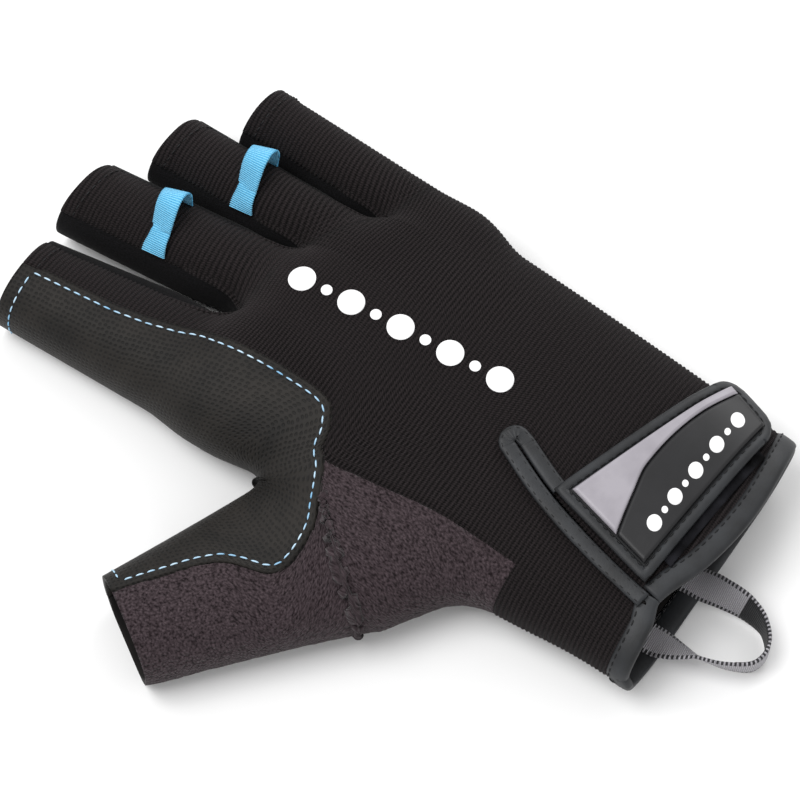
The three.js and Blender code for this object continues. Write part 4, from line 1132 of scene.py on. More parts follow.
k_down, t_out = steps(STALL_ROWS, 0, STALL_ROWS), steps(0, 1, THUMB_ROWS)
s_web = steps(SEAM_ROWS, PINCH, WEB_ROWS)
web_share = (SEAM_ROWS - s_web) / (SEAM_ROWS - PINCH)
grip_top = chain(index_top(k_down), tuple(a[1:] for a in seam_top(s_web)), lobe_top(t_out),
                 bridge=FINE // 2)
grip_low = chain(index_low(k_down), tuple(a[1:] for a in web_low(web_share)),
                 thumb_low(t_out), bridge=FINE // 2)
grip_points = draw_in(skin(*ruled(grip_top, grip_low, GRIP_COLUMNS)), -LEATHER_OVER, MEET)
grip_normal = skin_normal(grip_points)
edge_round = np.clip(np.arange(GRIP_COLUMNS + 1) / 2, 0, 1) ** 0.5
grip_lift = LEATHER_LIFT * (0.3 + 0.7 * edge_round)[None, :, None]
grip = add_panel("grip_leather", [
    (grip_points + grip_normal * grip_lift, grip_normal, thread_map(grip_points)),
])
finish_piece(grip, GRIP, ["grip_panel"], CLOTH)

# %% Towelling
TERRY_COLUMNS = 90
s_heel = steps(PINCH, SIDE_END, HEEL_ROWS)
heel_share = (PINCH - s_heel) / (PINCH - SIDE_END)
terry_top = chain(lobe_top(t_out[::-1]), seam_top(s_heel), bridge=FINE // 2)
terry_low = chain(thumb_back(t_out), heel_low(heel_share), bridge=FINE // 2)
terry_points = draw_in(skin(*ruled(terry_top, terry_low, TERRY_COLUMNS)), MEET, MEET)
terry_normal = skin_normal(terry_points)
rng = np.random.default_rng(7)
PILE = 0.45  # how far the towelling's loops stand up
PILE_EDGE = 3  # cells over which it fades at the edges


def pile(shape):
    """Random tufts, smoothed a little along both ways, and down to nothing at the edges."""
    rough = rng.random(shape)
    rough[1:-1, 1:-1] = (rough[1:-1, 1:-1] * 2 + rough[:-2, 1:-1] + rough[2:, 1:-1]
                         + rough[1:-1, :-2] + rough[1:-1, 2:]) / 6
    rows, columns = (np.minimum(np.arange(n), np.arange(n)[::-1]) for n in shape)
    return rough * np.clip(np.minimum(rows[:, None], columns[None]) / PILE_EDGE, 0, 1)


terry_lift = PILE * pile(terry_points.shape[:2])[..., None]
terry = add_panel("towelling", [
    (terry_points + terry_normal * terry_lift, terry_normal, thread_map(terry_points)),
])
finish_piece(terry, TERRY, ["thumb_terry_panel"], CLOTH)

# %% Wrist side
WRIST_RIBS, WRIST_COLUMNS = 30 * 4, 24
s_wrist = np.linspace(SIDE_END, 0, WRIST_RIBS + 1)
low_wrist = wrist_low(s_wrist)
first = heel_low(np.array([1.0]))
start = blend(tuple(np.repeat(a, len(s_wrist), 0) for a in first), low_wrist,
              np.clip((SIDE_END - s_wrist) * 2, 0, 1))
wrist_points = skin(*ruled(seam_top(s_wrist), start, WRIST_COLUMNS))
wrist = add_panel("wrist_side", [rib_patch(wrist_points, inset=(MEET, MEET))])
finish_piece(wrist, RIBBED, ["wrist_side_panel"], CLOTH)

# %% [markdown]
# ## Palm
# The underside is a height field: rays go straight down from the level of the side seams, so
# the leather is flat where it lies on the table and turns up to its seams at the edges.
# Rays from the side would graze the flat part and scatter; upright ones can't.

# %% Palm
DOWN = np.array([0.0, 0.0, -1.0])
WRIST_CORNER = 4 / 6  # share of the heel's seam at which the thumb's panel begins
LINE_ROWS = 5
PALM_COLUMNS, FINGER_COLUMNS, THUMB_COLUMNS = 56, 14, 24


def under(left, right, columns):
    """Rows between two lists of seam points, closer near the seams, dropped onto the skin."""
    share = (1 - np.cos(np.pi * np.linspace(0, 1, columns + 1))) / 2
    place = mix(left[:, None, :2], right[:, None, :2], share[None, :, None])
    start = stack(place[..., 0], place[..., 1], SEAM_HEIGHT)
    points = start.copy()
    way = np.broadcast_to(DOWN, start[:, 1:-1].shape)
    points[:, 1:-1] = skin(start[:, 1:-1], way)
    return points


palm_k = steps(0, STALL_ROWS, STALL_ROWS)
palm_fingers = []
for i, finger in enumerate(FINGERS):
    x, y = knuckle_ends[0 if i == 0 else -1]
    edge = {0: 180.0, 3: 0.0}.get(i)
    outer = stall_seam(finger, stall_y(finger, x, y, palm_k), edge or 0.0)
    left = skin(*outer) if i == 0 else low_edge(i - 1, finger, palm_k, 180)
    right = skin(*outer) if i == 3 else low_edge(i, finger, palm_k, 0)
    palm_fingers.append(under(left, right, FINGER_COLUMNS))
knuckle_row = np.concatenate([rows[0, min(i, 1):] for i, rows in enumerate(palm_fingers)])
print("palm under the fingers:", [rows.shape[:2] for rows in palm_fingers])

# %% Palm leather
corner = skin(*heel_low(np.array([WRIST_CORNER])))[0]
web = skin(*web_low(np.array([1.0])))[0]
palm_left = np.concatenate([
    skin(*wrist_low(steps(0, SIDE_END, 4))),
    skin(*heel_low(steps(1, WRIST_CORNER, 2)))[1:],
    spread(corner, web, LINE_ROWS * FINE)[1:],
    skin(*web_low(steps(1, 0, 7)))[1:],
])
share = np.arange(len(palm_left)) / len(palm_left)
palm_y = mix(UNDER_END, LITTLE_Y, share)
PALM_HEART = 0.4  # share of the half width from which the rays to the far side start
palm_right = skin(*seam_seed(section(palm_y)[1] * PALM_HEART, palm_y, 0.0))
palm_hand = under(palm_left, palm_right, PALM_COLUMNS)
bridge = mix(palm_hand[-1][None], knuckle_row[None], np.linspace(0, 1, FINE + 1)[:, None, None])
inner = bridge[1:-1, 1:-1].copy()
inner[..., 2] = SEAM_HEIGHT
bridge[1:-1, 1:-1] = skin(inner, np.broadcast_to(DOWN, inner.shape))
palm_rows = np.concatenate([palm_hand, bridge[1:]])


def palm_patch(points):
    """A patch whose outward side is down."""
    return points, np.broadcast_to(DOWN, points.shape), thread_map(points)


palm = add_panel("palm_leather", [palm_patch(palm_rows), *map(palm_patch, palm_fingers)])
finish_piece(palm, PALM, ["palm_panel"], CLOTH)

# %% Thumb palm
WEB_SHARE = 0.01  # how far from the web's corner the rows to the heel start
t_heel = steps(0, WRIST_CORNER, 4)
thumb_right = np.concatenate([skin(*thumb_back(t_out)), skin(*heel_low(t_heel))[1:]])
thumb_left = np.concatenate([
    skin(*thumb_low(t_out[::-1])),
    mix(web, thumb_right[len(t_out):], WEB_SHARE),
])
thumb_under = draw_in(under(thumb_left, thumb_right, THUMB_COLUMNS), MEET, MEET)
thumb_palm = add_panel("thumb_palm", [palm_patch(thumb_under)])
finish_piece(thumb_palm, PALM, ["thumb_palm_panel"], CLOTH)

# %% [markdown]
# ## Rolled bindings
# A coated tape is folded over the raw edge of the cuff and of the slit. Its section is a flat
# oval carried along a line on the skin.
# A curve with a bevel would make the same roll, but it twists in a bend. Here the skin's
# own normal holds the tape flat on the cloth all the way.

# %% Rails


def frame_along(path):
    """Skin normals of a path, and the direction across it: normal x ahead."""
    normal = skin_normal(path)
    return normal, unit(np.cross(normal, unit(np.gradient(path, axis=0))))


def oval_ring(sides, power):
    """Across and up of a squarish oval of reach 1: sign(w) |w|^(2/power) of cos and sin."""
    turn = np.linspace(0, 2 * np.pi, sides, endpoint=False)
    return [np.sign(w) * np.abs(w) ** (2 / power) for w in (np.cos(turn), np.sin(turn))]


def tube(rings):
    """Closes rings of points into a bar with a point at the middle of each end."""
    count, sides = rings.shape[:2]
    points = np.concatenate([rings.reshape(-1, 3), rings[:1].mean(1), rings[-1:].mean(1)])
    index = np.arange(count * sides).reshape(count, sides)
    a, b = index[:-1], np.roll(index, -1, 1)[:-1]
    c, d = np.roll(index, -1, 1)[1:], index[1:]
    walls = np.stack([a, b, c, d], -1).reshape(-1, 4)
    caps = []
    for ring, middle in ((index[0], count * sides), (index[-1][::-1], count * sides + 1)):
        half = ring[::2]
        corners = [np.full(sides // 2, middle), np.roll(half, -1), ring[1::2], half]
        caps.append(np.stack(corners, -1))
    return points, np.concatenate([walls, *caps])


def outward(points, faces):
    """Turns a closed body the right way out if its volume comes out negative."""
    a, b, c, d = (points[faces[:, i]] for i in range(4))
    volume = np.einsum("ij,ij->", a, np.cross(b, c) + np.cross(c, d))
    return faces if volume > 0 else faces[:, ::-1]


def add_bar(name, rings, uv=None):
    """A solid bar through rings of points; its UV is one pair per ring point, in mm."""
    points, faces = tube(rings)
    if uv is None:
        around = walk(rings, 1)
        uv = stack(around, walk(rings, 0)[:, :1] + 0 * around)
    ends = np.zeros((2, 2))
    return add_mesh(name, points, outward(points, faces),
                    np.concatenate([uv.reshape(-1, 2), ends]))


def rail(name, path, width, over, below, sides=16, power=2.6):
    """A bar on a path over the skin. Its section is an oval of the given power, from below the
    skin to over it."""
    normal, side = frame_along(path)
    across, up = oval_ring(sides, power)
    over, below = np.broadcast_to(over, len(path)), np.broadcast_to(below, len(path))
    rise = ((over + below) / 2)[:, None] + ((over - below) / 2)[:, None] * up[None]
    rings = path[:, None] + normal[:, None] * rise[..., None] \
        + side[:, None] * (across * width / 2)[None, :, None]
    return add_bar(name, rings)


print("a rail's section has", len(oval_ring(16, 2.6)[0]), "sides unless asked otherwise")

# %% [markdown]
# ## Stitches
# Each stitch is a short spindle of thread with both ends sunk in the cloth. They are real
# shapes, because a drawn row of dashes would look flat where the light rakes over it. A
# spindle has only six rings of six points, since there are hundreds of them.

# %% Stitches
# length, pitch and thickness of the stitches on each piece, in mm
CUFF_STITCH, HEM_STITCH = (1.6, 2.4, 0.4), (1.5, 2.3, 0.4)
TAPE_STITCH, GRIP_STITCH = (1.7, 2.5, 0.42), (2.1, 3.0, 0.45)
STITCH_RINGS, STITCH_SIDES = 6, 6
STITCH_ARCH, STITCH_SUNK, STITCH_TIP = 0.35, 0.2, 0.05


def resample(path, spacing):
    """Points at even distances along a path."""
    length = walk(path[:, None], 0)[:, 0]
    places = np.arange(spacing / 2, length[-1], spacing)
    return stack(*[np.interp(places, length, path[:, i]) for i in range(3)])


def add_stitches(name, path, normal, thread, material):
    """A row of stitches along a path. A stitch's thickness falls off as sqrt(1 - t^4) from its
    middle to its ends, and its arch as 1 - t^2."""
    length, pitch, thick = thread
    joined = resample(path, pitch)
    order = np.argmin(((path[None] - joined[:, None]) ** 2).sum(-1), 1)
    normal = unit(normal[order])
    ahead = unit(np.gradient(joined, axis=0))
    side = unit(np.cross(normal, ahead))
    t = np.linspace(-1, 1, STITCH_RINGS)
    turn = np.linspace(0, 2 * np.pi, STITCH_SIDES, endpoint=False)
    radius = thick / 2 * np.sqrt(np.maximum(1 - t**4, STITCH_TIP))
    rise = thick * STITCH_ARCH * (1 - t**2) - thick * STITCH_SUNK
    axis = joined[:, None] + ahead[:, None] * (t * length / 2)[None, :, None] \
        + normal[:, None] * rise[None, :, None]
    ring = side[:, None, None] * np.cos(turn)[None, None, :, None] \
        + normal[:, None, None] * np.sin(turn)[None, None, :, None]
    rings = axis[:, :, None] + ring * radius[None, :, None, None]
    base, walls = tube(rings[0])
    ends = rings[:, [0, -1]].mean(2)
    points = np.concatenate([rings.reshape(len(rings), -1, 3), ends], axis=1).reshape(-1, 3)
    first = np.arange(len(rings))[:, None, None] * len(base)
    faces = (outward(base, walls)[None] + first).reshape(-1, 4)
    return finish_piece(add_mesh(name, points, faces), material)


print("grip stitches, mm long and apart:", *GRIP_STITCH[:2])

# %% Cuff binding
CUFF_STATIONS = 240
CUFF_SEAM_IN, THREAD_SINK = 1.1, 0.05
MOST_TURN = 1.2


def cuff_seed(turn):
    """Rays round the wrist: a turn of 0 is straight up, pi straight down."""
    middle, half, high = (float(v) for v in section(0.0))
    x = middle + half * np.sin(turn)
    y = np.where(np.cos(turn) > 0, cuff_y(x), cuff_y(half)) + CUFF_BINDING / 2
    start = stack(middle + (half - high) * np.sin(turn), y, high * 2 * MID_HEIGHT)
    return start, stack(np.sin(turn), 0, np.cos(turn))


def turn_over(x):
    """The turn at which the cuff's line passes over x, found by halving."""
    low, top = np.array([-MOST_TURN]), np.array([MOST_TURN])
    for _ in range(HALVINGS):
        turn = (low + top) / 2
        left = skin(*cuff_seed(turn))[:, 0] < x
        low, top = np.where(left, turn, low), np.where(left, top, turn)
    return float(low[0])


slit_end = float(slit_at(1.0)[0])
cuff_turns = np.linspace(turn_over(slit_end - SEAM_GAP),
                         turn_over(slit_end + SEAM_GAP) - 2 * math.pi, CUFF_STATIONS + 1)
cuff_path = skin(*cuff_seed(cuff_turns))
cuff_over = CUFF_PROUD * np.clip((cuff_path[:, 2] - SEAM_HEIGHT) / SEAM_HEIGHT, 0, 1)
cuff = rail("cuff_tape", cuff_path, CUFF_BINDING, cuff_over, cuff_over - CUFF_ROLL, power=3.2)
finish_piece(cuff, BINDING, ["cuff_binding"])
cuff_normal, cuff_side = frame_along(cuff_path)
top_side = np.sign(cuff_side[:, 1:2])
on_top = cuff_path[:, 2] > SEAM_HEIGHT * 1.5
seam = cuff_path + cuff_side * top_side * (CUFF_BINDING / 2 - CUFF_SEAM_IN) \
    + cuff_normal * (cuff_over[:, None] - THREAD_SINK)
add_stitches("cuff_stitches", seam[on_top], cuff_normal[on_top], CUFF_STITCH, DARK_THREAD)

# %% Slit binding
LEG_END, LEG_START, LOOK = 0.99, 0.03, 0.02
STRAP_TOP, STRAP_LOW, SLIT_SHORT = 0.36, 0.92, 0.02
slit_side = SLIT_OPENING / 2 + SLIT_BINDING / 2
LEG_POINTS, BEND_POINTS = 60, 24
CREASE, CREASE_TURN, CREASE_AT, CREASE_REACH = 0.12, 1.9, 71, 13  # mm, radians, points, points


def slit_leg(side, a, b, off):
    """Places beside the slit, off it by a distance, from share a to share b."""
    at = np.linspace(a, b, LEG_POINTS)
    ahead = unit(slit_at(at + LOOK) - slit_at(at - LOOK))
    return slit_at(at) + stack(-ahead[:, 1] * side, ahead[:, 0] * side) * off


def slit_route(off):
    """Down the thumb side of the slit, round its closed end and along its other side."""
    turn = np.pi * (1 - np.linspace(0, 1, BEND_POINTS)[1:-1])
    bend = slit_top + stack(np.cos(turn), np.sin(turn)) * off
    route = np.concatenate([
        slit_leg(-1, LEG_END, LEG_START, off), bend,
        slit_leg(1, LEG_START, STRAP_TOP - SLIT_SHORT, off),
    ])
    return skin(*hand_seed(route[:, 0], np.maximum(route[:, 1], cuff_y(route[:, 0]) + 1)))


slit_path = slit_route(slit_side)
station = np.arange(len(slit_path))
creases = CREASE * np.sin(station * CREASE_TURN) \
    * np.exp(-((station - CREASE_AT) / CREASE_REACH) ** 2)
slit_tape = rail("slit_tape", slit_path, SLIT_BINDING, SEAM_GAP + SLIT_ROLL + creases, SEAM_GAP,
                 sides=20, power=3.0)
finish_piece(slit_tape, BINDING, ["slit_binding"])
seams = (SLIT_OPENING / 2 + SLIT_BINDING - 0.8, None), (SLIT_OPENING / 2 + 0.9, LEG_POINTS)
for number, (off, last) in enumerate(seams):
    line = slit_route(off)[:last]
    normal = skin_normal(line)
    seam = line + normal * (SEAM_GAP + SLIT_ROLL * 0.86)
    add_stitches(f"slit_stitches_{number + 1}", seam, normal, TAPE_STITCH, DARK_THREAD)

# %% [markdown]
# ## Strap
# The strap lies over the slit and the flap: a body of coated cloth, a bound rim with a row of
# stitches, and two rubber patches moulded on it. Its place is given by u, from its root to
# its free end, and v, from the cuff's side to the finger side.
# A modifier could press a flat strap onto the hand, but with u and v the body, the rim,
# the stitches and the patches are all places on one surface, and bend together.

# %% Strap form
STRAP_IN, STRAP_SLANT, END_HEADING, STRAP_LIFT, LIFT_POWER = 1.0, -12.0, 69.0, 2.5, 4
root_top = slit_at(STRAP_TOP) + [STRAP_IN, 0]
root_low = slit_at(STRAP_LOW) + [STRAP_IN, 0]
root_mid = (root_top + root_low) / 2
strap_up = unit(root_top - root_low)
slant, heading = math.radians(STRAP_SLANT), math.radians(END_HEADING)
end_mid = root_mid + np.array([math.cos(slant), math.sin(slant)]) * STRAP_LENGTH
end_up = np.array([math.cos(heading), math.sin(heading)])


def strap_place(u, v):
    """Place on the table under the strap: rulings from root line to end line."""
    root = root_mid + strap_up * ((v - 0.5) * STRAP_ROOT)[..., None]
    end = end_mid + end_up * ((v - 0.5) * STRAP_END)[..., None]
    return mix(root, end, u[..., None])


def strap_points(u, v, lift=0.0):
    """Points of the strap's top face, lifted off the skin, more towards the free end."""
    place = strap_place(u, v)
    points = skin(*hand_seed(place[..., 0], place[..., 1]))
    share = np.clip((points[..., 0] - root_top[0]) / STRAP_LENGTH, 0, 1)
    height = 2 * SEAM_GAP + FASTENER_THICKNESS + STRAP_THICKNESS + STRAP_LIFT * share**LIFT_POWER
    normal = skin_normal(points)
    return points + normal * (height + lift)[..., None], normal


def width_at(u):
    """The strap's width at u."""
    return mix(STRAP_ROOT, STRAP_END, u)


def corner_cut(u, radius):
    """How much of v a rounded corner takes near the free end: r - sqrt(r^2 - x^2)."""
    past = np.clip(1 - (1 - u) * STRAP_LENGTH / radius, 0, 1)
    return radius * (1 - np.sqrt(1 - past**2)) / STRAP_END


print("strap's free end, mm:", np.round(end_mid, 1))

# %% Strap body and rim
BODY_BEND = 0.1  # the last share of the strap, where its rows close up round the corners
RIM_BEND = 0.09
near_end = np.cos(np.linspace(0, np.pi / 2, 16))[1:]
u_rows = np.concatenate([np.linspace(0, 1 - BODY_BEND, 60), 1 - BODY_BEND * near_end])
v_columns = np.linspace(0, 1, 33)
trim = corner_cut(u_rows, STRAP_CORNER)
v_grid = mix(trim[:, None], 1 - trim[:, None], v_columns[None])
u_grid = u_rows[:, None] + 0 * v_grid
body_points, body_normal = strap_points(u_grid, v_grid, 0 * u_grid)
strap = add_panel("strap_body", [(body_points, body_normal, thread_map(body_points))])
finish_piece(strap, STRAP, ["closure_strap"], STRAP_THICKNESS)


def strap_border(inset):
    """u and v along the strap's border, drawn in by a distance: the cuff's edge, round the
    free end, back along the finger edge and down the root."""
    reach = 1 - inset / STRAP_LENGTH
    bend = reach - RIM_BEND * (1 - np.sin(np.linspace(0, np.pi / 2, 14)))
    u = np.concatenate([np.linspace(inset / STRAP_LENGTH, reach - RIM_BEND, 50), bend])
    cut_v = corner_cut(np.minimum(u + 1 - reach, 1), STRAP_CORNER - inset * 0.5)
    side = inset / width_at(u) + cut_v
    end_v = np.linspace(side[-1], 1 - side[-1], 20)[1:-1]
    root_v = np.linspace(1 - side[0], side[0], 30)[1:-1]
    all_u = np.concatenate([u, np.full(len(end_v), reach), u[::-1], np.full(len(root_v), u[0])])
    all_v = np.concatenate([side, end_v, 1 - side[::-1], root_v])
    return all_u, all_v


def strap_line(inset, lift):
    """Points and normals on a line along the strap's border."""
    u, v = strap_border(inset)
    return strap_points(u, v, lift + 0 * u)


def closed_bar(name, path, normal, width, thick, sides=12, power=2.4):
    """A closed roll along a loop of points: the same oval section at every point."""
    ahead = unit(np.roll(path, -1, 0) - np.roll(path, 1, 0))
    side = unit(np.cross(normal, ahead))
    across, up = oval_ring(sides, power)
    rings = path[:, None] + side[:, None] * (across * width / 2)[None, :, None] \
        + normal[:, None] * (up * thick / 2)[None, :, None]
    index = np.arange(len(path) * sides).reshape(len(path), sides)
    a, b = index, np.roll(index, -1, 1)
    faces = np.stack([a, b, np.roll(b, -1, 0), np.roll(a, -1, 0)], -1).reshape(-1, 4)
    points = rings.reshape(-1, 3)
    return add_mesh(name, points, outward(points, faces))


RIM_OUT, RIM_PROUD, RIM_SEAM_IN, RIM_SEAM_UP = 0.2, 0.9, 0.75, 0.36
rim_path, rim_normal = strap_line(STRAP_RIM / 2 - RIM_OUT, -STRAP_THICKNESS / 2)
rim = closed_bar("strap_rim", rim_path, rim_normal, STRAP_RIM, STRAP_THICKNESS + RIM_PROUD,
                 power=3.0)
finish_piece(rim, BINDING)
seam, seam_normal = strap_line(STRAP_RIM - RIM_SEAM_IN, RIM_SEAM_UP)
add_stitches("strap_stitches", seam, seam_normal, TAPE_STITCH, DARK_THREAD)

# %% [markdown]
# ## Patches and fastener
# Two moulded rubber patches meet along a curve on the strap. Under the strap lies a field of
# loop fabric, of which a narrow edge shows. Each is a grid on the strap's own u and v, so all
# of them bend with it.

# %% Patches
PATCH_SOFT, PATCH_LOW = 0.7, 0.35  # reach of the rounded edge, and its height there as a share


def patch_edge(u):
    """The v of the curve between the two patches."""
    return read(PATCH_EDGE, u, 1)


def add_patch(name, low, high, material, nodes):
    """A moulded patch between two curves of v. Its edge is rounded by the square root of the
    distance from it."""
    first = STRAP_RIM / STRAP_LENGTH
    u = np.linspace(first, 1 - first, 80)[:, None]
    v = mix(low(u), high(u), np.linspace(0, 1, 41)[None])
    u = u + 0 * v
    out = np.minimum(np.minimum(v - low(u), high(u) - v) * width_at(u),
                     np.minimum(u - first, 1 - first - u) * STRAP_LENGTH)
    soft = np.sqrt(np.clip(out / PATCH_SOFT, 0, 1))
    height = PATCH_THICKNESS * (PATCH_LOW + (1 - PATCH_LOW) * soft)
    points, normal = strap_points(u, v, SEAM_GAP + height)
    piece = add_panel(name, [(points, normal, thread_map(points))])
    return finish_piece(piece, material, nodes, PATCH_THICKNESS)


add_patch("grey_patch", lambda u: patch_edge(u) + GAP / width_at(u),
          lambda u: 1 - STRAP_RIM / width_at(u), GREY, ["strap_grey_patch"])
add_patch("black_patch", lambda u: STRAP_RIM / width_at(u),
          lambda u: patch_edge(u) - GAP / width_at(u), BLACK,
          ["strap_black_patch"])

# %% Loop fastener
FASTENER_SHOWS, FASTENER_PILE = 2.5, 0.25
u = np.linspace(0.14, 0.86, 110)[:, None]
v = mix(-FASTENER_SHOWS / width_at(u), 0.85, np.linspace(0, 1, 60)[None])
u = u + 0 * v
x, y = np.moveaxis(strap_place(u, v), -1, 0)
loop_points = skin(*hand_seed(x, np.maximum(y, panel_end(x))))
loop_normal = skin_normal(loop_points)
loop_lift = (SEAM_GAP + FASTENER_THICKNESS + FASTENER_PILE * pile(u.shape))[..., None]
fastener = add_panel("loop_fabric", [
    (loop_points + loop_normal * loop_lift, loop_normal, thread_map(loop_points)),
])
finish_piece(fastener, LOOPS, ["loop_fastener"], FASTENER_THICKNESS)

# %% [markdown]
# ## Ribbons
# The blue tabs on two fingers and the grey pull loop at the cuff are woven ribbon. A ribbon
# is a flat section carried along a line; the grosgrain's edge is scalloped by its ribs.
# A curve's bevel can't change its width along the way, so the rings are worked out here.

# %% Ribbons
# the flat section, across as a share of half the width and up of half the thickness
FLAT = np.array([1, 0.96, 0.6, 0, -0.6, -0.96, -1, -0.96, -0.6, 0, 0.6, 0.96])
FLAT_UP = np.array([0, 0.8, 1, 1, 1, 0.8, 0, -0.8, -1, -1, -1, -0.8])


def add_ribbon(name, path, along, face, width, thick, scallop=0.0, pitch=0.55):
    """A ribbon with rounded long edges: width runs along, thickness along face. Its half width
    is scalloped by a cosine of the given pitch."""
    length = walk(path[:, None], 0)[:, 0]
    half = width / 2 + scallop * np.cos(2 * np.pi * length / pitch)
    rings = path[:, None] + along[:, None] * (half[:, None] * FLAT[None])[..., None] \
        + face[:, None] * (FLAT_UP * thick / 2)[None, :, None]
    return add_bar(name, rings, stack((FLAT + 1) * width / 2, length[:, None]))


print("a ribbon's section has", len(FLAT), "points")

# %% Finger tabs
TAB_PEAK, TAB_SKEW, TAB_FAN = 0.66, 3.0, (-50, 48)
TAB_TWIST, TAB_SWING, TAB_SCALLOP = 0.35, 0.25, 0.14
for finger, along, name in ((1, 0.859, "middle"), (2, 0.8, "ring")):
    t = np.linspace(0, 1, 150)
    points = skin(*finger_seed(FINGERS[finger], along * GLOVE_LENGTH + t * TAB_SKEW,
                               mix(*TAB_FAN, t)))
    near = np.clip(1 - np.abs(t - TAB_PEAK) / (1 - TAB_PEAK), 0, 1)
    path = points + skin_normal(points) * (
        SEAM_GAP + TAB_THICKNESS / 2 + TAB_RISE * ease(near))[:, None]
    twist = TAB_TWIST * np.sin(np.pi * t)
    ahead = unit(np.gradient(path, axis=0))
    wide = unit(stack(TAB_SWING * np.sin(2 * np.pi * t), 1, -twist))
    face = unit(np.cross(wide, ahead))
    wide = unit(np.cross(ahead, face))
    tab = add_ribbon(f"{name}_tab", path, wide, face, TAB_WIDTH, TAB_THICKNESS, TAB_SCALLOP)
    finish_piece(tab, RIBBON, [f"{name}_finger_tab"])

# %% Pull loop
# x, y, z, twist: x as a share of the palm's width, y of the loop's reach, z of the tape's width
LOOP = np.array([
    (-0.03, 0.4, 0, 0), (-0.026, 0.1, 0, 0), (-0.02, -0.22, 0.2, 40), (-0.02, -0.55, 0.27, 62),
    (-0.045, -0.84, 0.27, 84), (-0.1, -1.0, 0.27, 90), (-0.16, -0.97, 0.27, 86),
    (-0.205, -0.72, 0.27, 78), (-0.23, -0.4, 0.27, 68), (-0.245, -0.14, 0.17, 30),
    (-0.25, 0.04, 0.09, 3), (-0.252, 0.2, 0.06, 0), (-0.254, 0.4, 0.06, 0),
])
tape_floor = CUFF_ROLL - CUFF_PROUD + SEAM_GAP + TAPE_THICKNESS / 2
loop_line = LOOP[:, :3] * [PALM_WIDTH, LOOP_REACH, TAPE_WIDTH] + [0, 0, tape_floor]
t = np.linspace(0, 1, 260)
path = follow(loop_line, t)
twist = np.radians(np.interp(t * (len(LOOP) - 1), range(len(LOOP)), LOOP[:, 3]))
ahead = unit(np.gradient(path, axis=0))
level = unit(stack(-ahead[:, 1], ahead[:, 0], 0))
wide = level * np.cos(twist)[:, None] + [0, 0, 1] * np.sin(twist)[:, None]
face = unit(np.cross(ahead, wide))
TAPE_SCALLOP, TAPE_PITCH = 0.05, 1.1
tape = add_ribbon("pull_tape", path, wide, face, TAPE_WIDTH, TAPE_THICKNESS, TAPE_SCALLOP,
                  TAPE_PITCH)
finish_piece(tape, TAPE, ["pull_loop"])

LINING_IN, LINING_NARROW, LINING_THICKNESS = 0.42, 0.9, 0.4
inward = face * -np.sign((face * (path - path.mean(0))).sum(1, keepdims=True))
bend = (t > 0.24) & (t < 0.56)  # the black side shows on the loop's bend only
lining = add_ribbon("pull_tape_lining", (path + inward * LINING_IN)[bend], wide[bend],
                    face[bend], TAPE_WIDTH - LINING_NARROW, LINING_THICKNESS, TAPE_SCALLOP,
                    TAPE_PITCH)
finish_piece(lining, LINING)

# %% [markdown]
# ## Grip and hem stitching
# Pale blue thread holds the grip leather, about 2.3 mm inside its edge, and crosses the
# leather at the ends of the index and thumb stalls.

# %% Grip stitching
STITCH_IN, EDGE_COLUMNS = 2.3, 20
INDEX_ROW, THUMB_ROW = 4, -4
PALE_UP = LEATHER_LIFT + 0.1


def inside_line(points, normal, by):
    """Line at a distance inside the first column of a grid, its edge. Each point's reach is
    the least distance to the edge."""
    near = points[:, :EDGE_COLUMNS]
    reach = np.linalg.norm(near[:, :, None] - points[None, None, :, 0], axis=-1).min(-1)
    column = np.clip((reach < by).sum(1), 1, EDGE_COLUMNS - 1)
    rows = np.arange(len(points))
    low, high = reach[rows, column - 1], reach[rows, column]
    t = ((by - low) / np.maximum(high - low, TINY))[:, None]
    line = mix(points[rows, column - 1], points[rows, column], t)
    return line, unit(mix(normal[rows, column - 1], normal[rows, column], t))


line, normal = inside_line(grip_points, grip_normal, STITCH_IN)
line, normal = line[INDEX_ROW:THUMB_ROW], normal[INDEX_ROW:THUMB_ROW]
add_stitches("grip_stitches", line + normal * PALE_UP, normal, GRIP_STITCH, PALE_THREAD)
for name, row in (("index_end", INDEX_ROW), ("thumb_end", THUMB_ROW)):
    past = walk(grip_points, 1)[row] > STITCH_IN + LEATHER_OVER
    edge, normal = grip_points[row, past], grip_normal[row, past]
    add_stitches(f"{name}_stitches", edge + normal * PALE_UP, normal, GRIP_STITCH,
                 PALE_THREAD)

# %% Hem stitching
HEM_SEAM_IN, HEM_THREAD_UP = 0.8, 0.15
for number, (finger, points) in enumerate(zip(FINGERS, finger_points)):
    to_end = tip_y(finger, points[..., 0]) - points[..., 1]
    row = int(np.argmin(np.abs(to_end.mean(1) - HEM + HEM_SEAM_IN)))
    edge = points[row]
    normal = skin_normal(edge)
    add_stitches(f"hem_stitches_{number + 1}", edge + normal * (HEM_LIFT + HEM_THREAD_UP),
                 normal, HEM_STITCH, DARK_THREAD)

# %% [markdown]
# ## Fork welts
# Where a side wall meets the back in a fork, the seam is turned in and stands up as a small
# round welt. It is highest in the fork and runs out on both sides as 1 - share^2.

# %% Fork welts
WELT, WELT_RISE, WELT_REACH = 2.2, 0.7, 24
WELT_OVER, WELT_BELOW = 0.15, -0.9
for points, name in zip(fourchettes, ("index", "middle", "ring")):
    middle = len(points) // 2
    line = points[middle - WELT_REACH:middle + WELT_REACH + 1, 0]
    high = WELT_RISE * (1 - np.linspace(-1, 1, len(line)) ** 2)
    welt = rail(f"{name}_welt", line, WELT, WELT_OVER + high, WELT_BELOW, sides=12, power=2)
    finish_piece(welt, RIBBED)

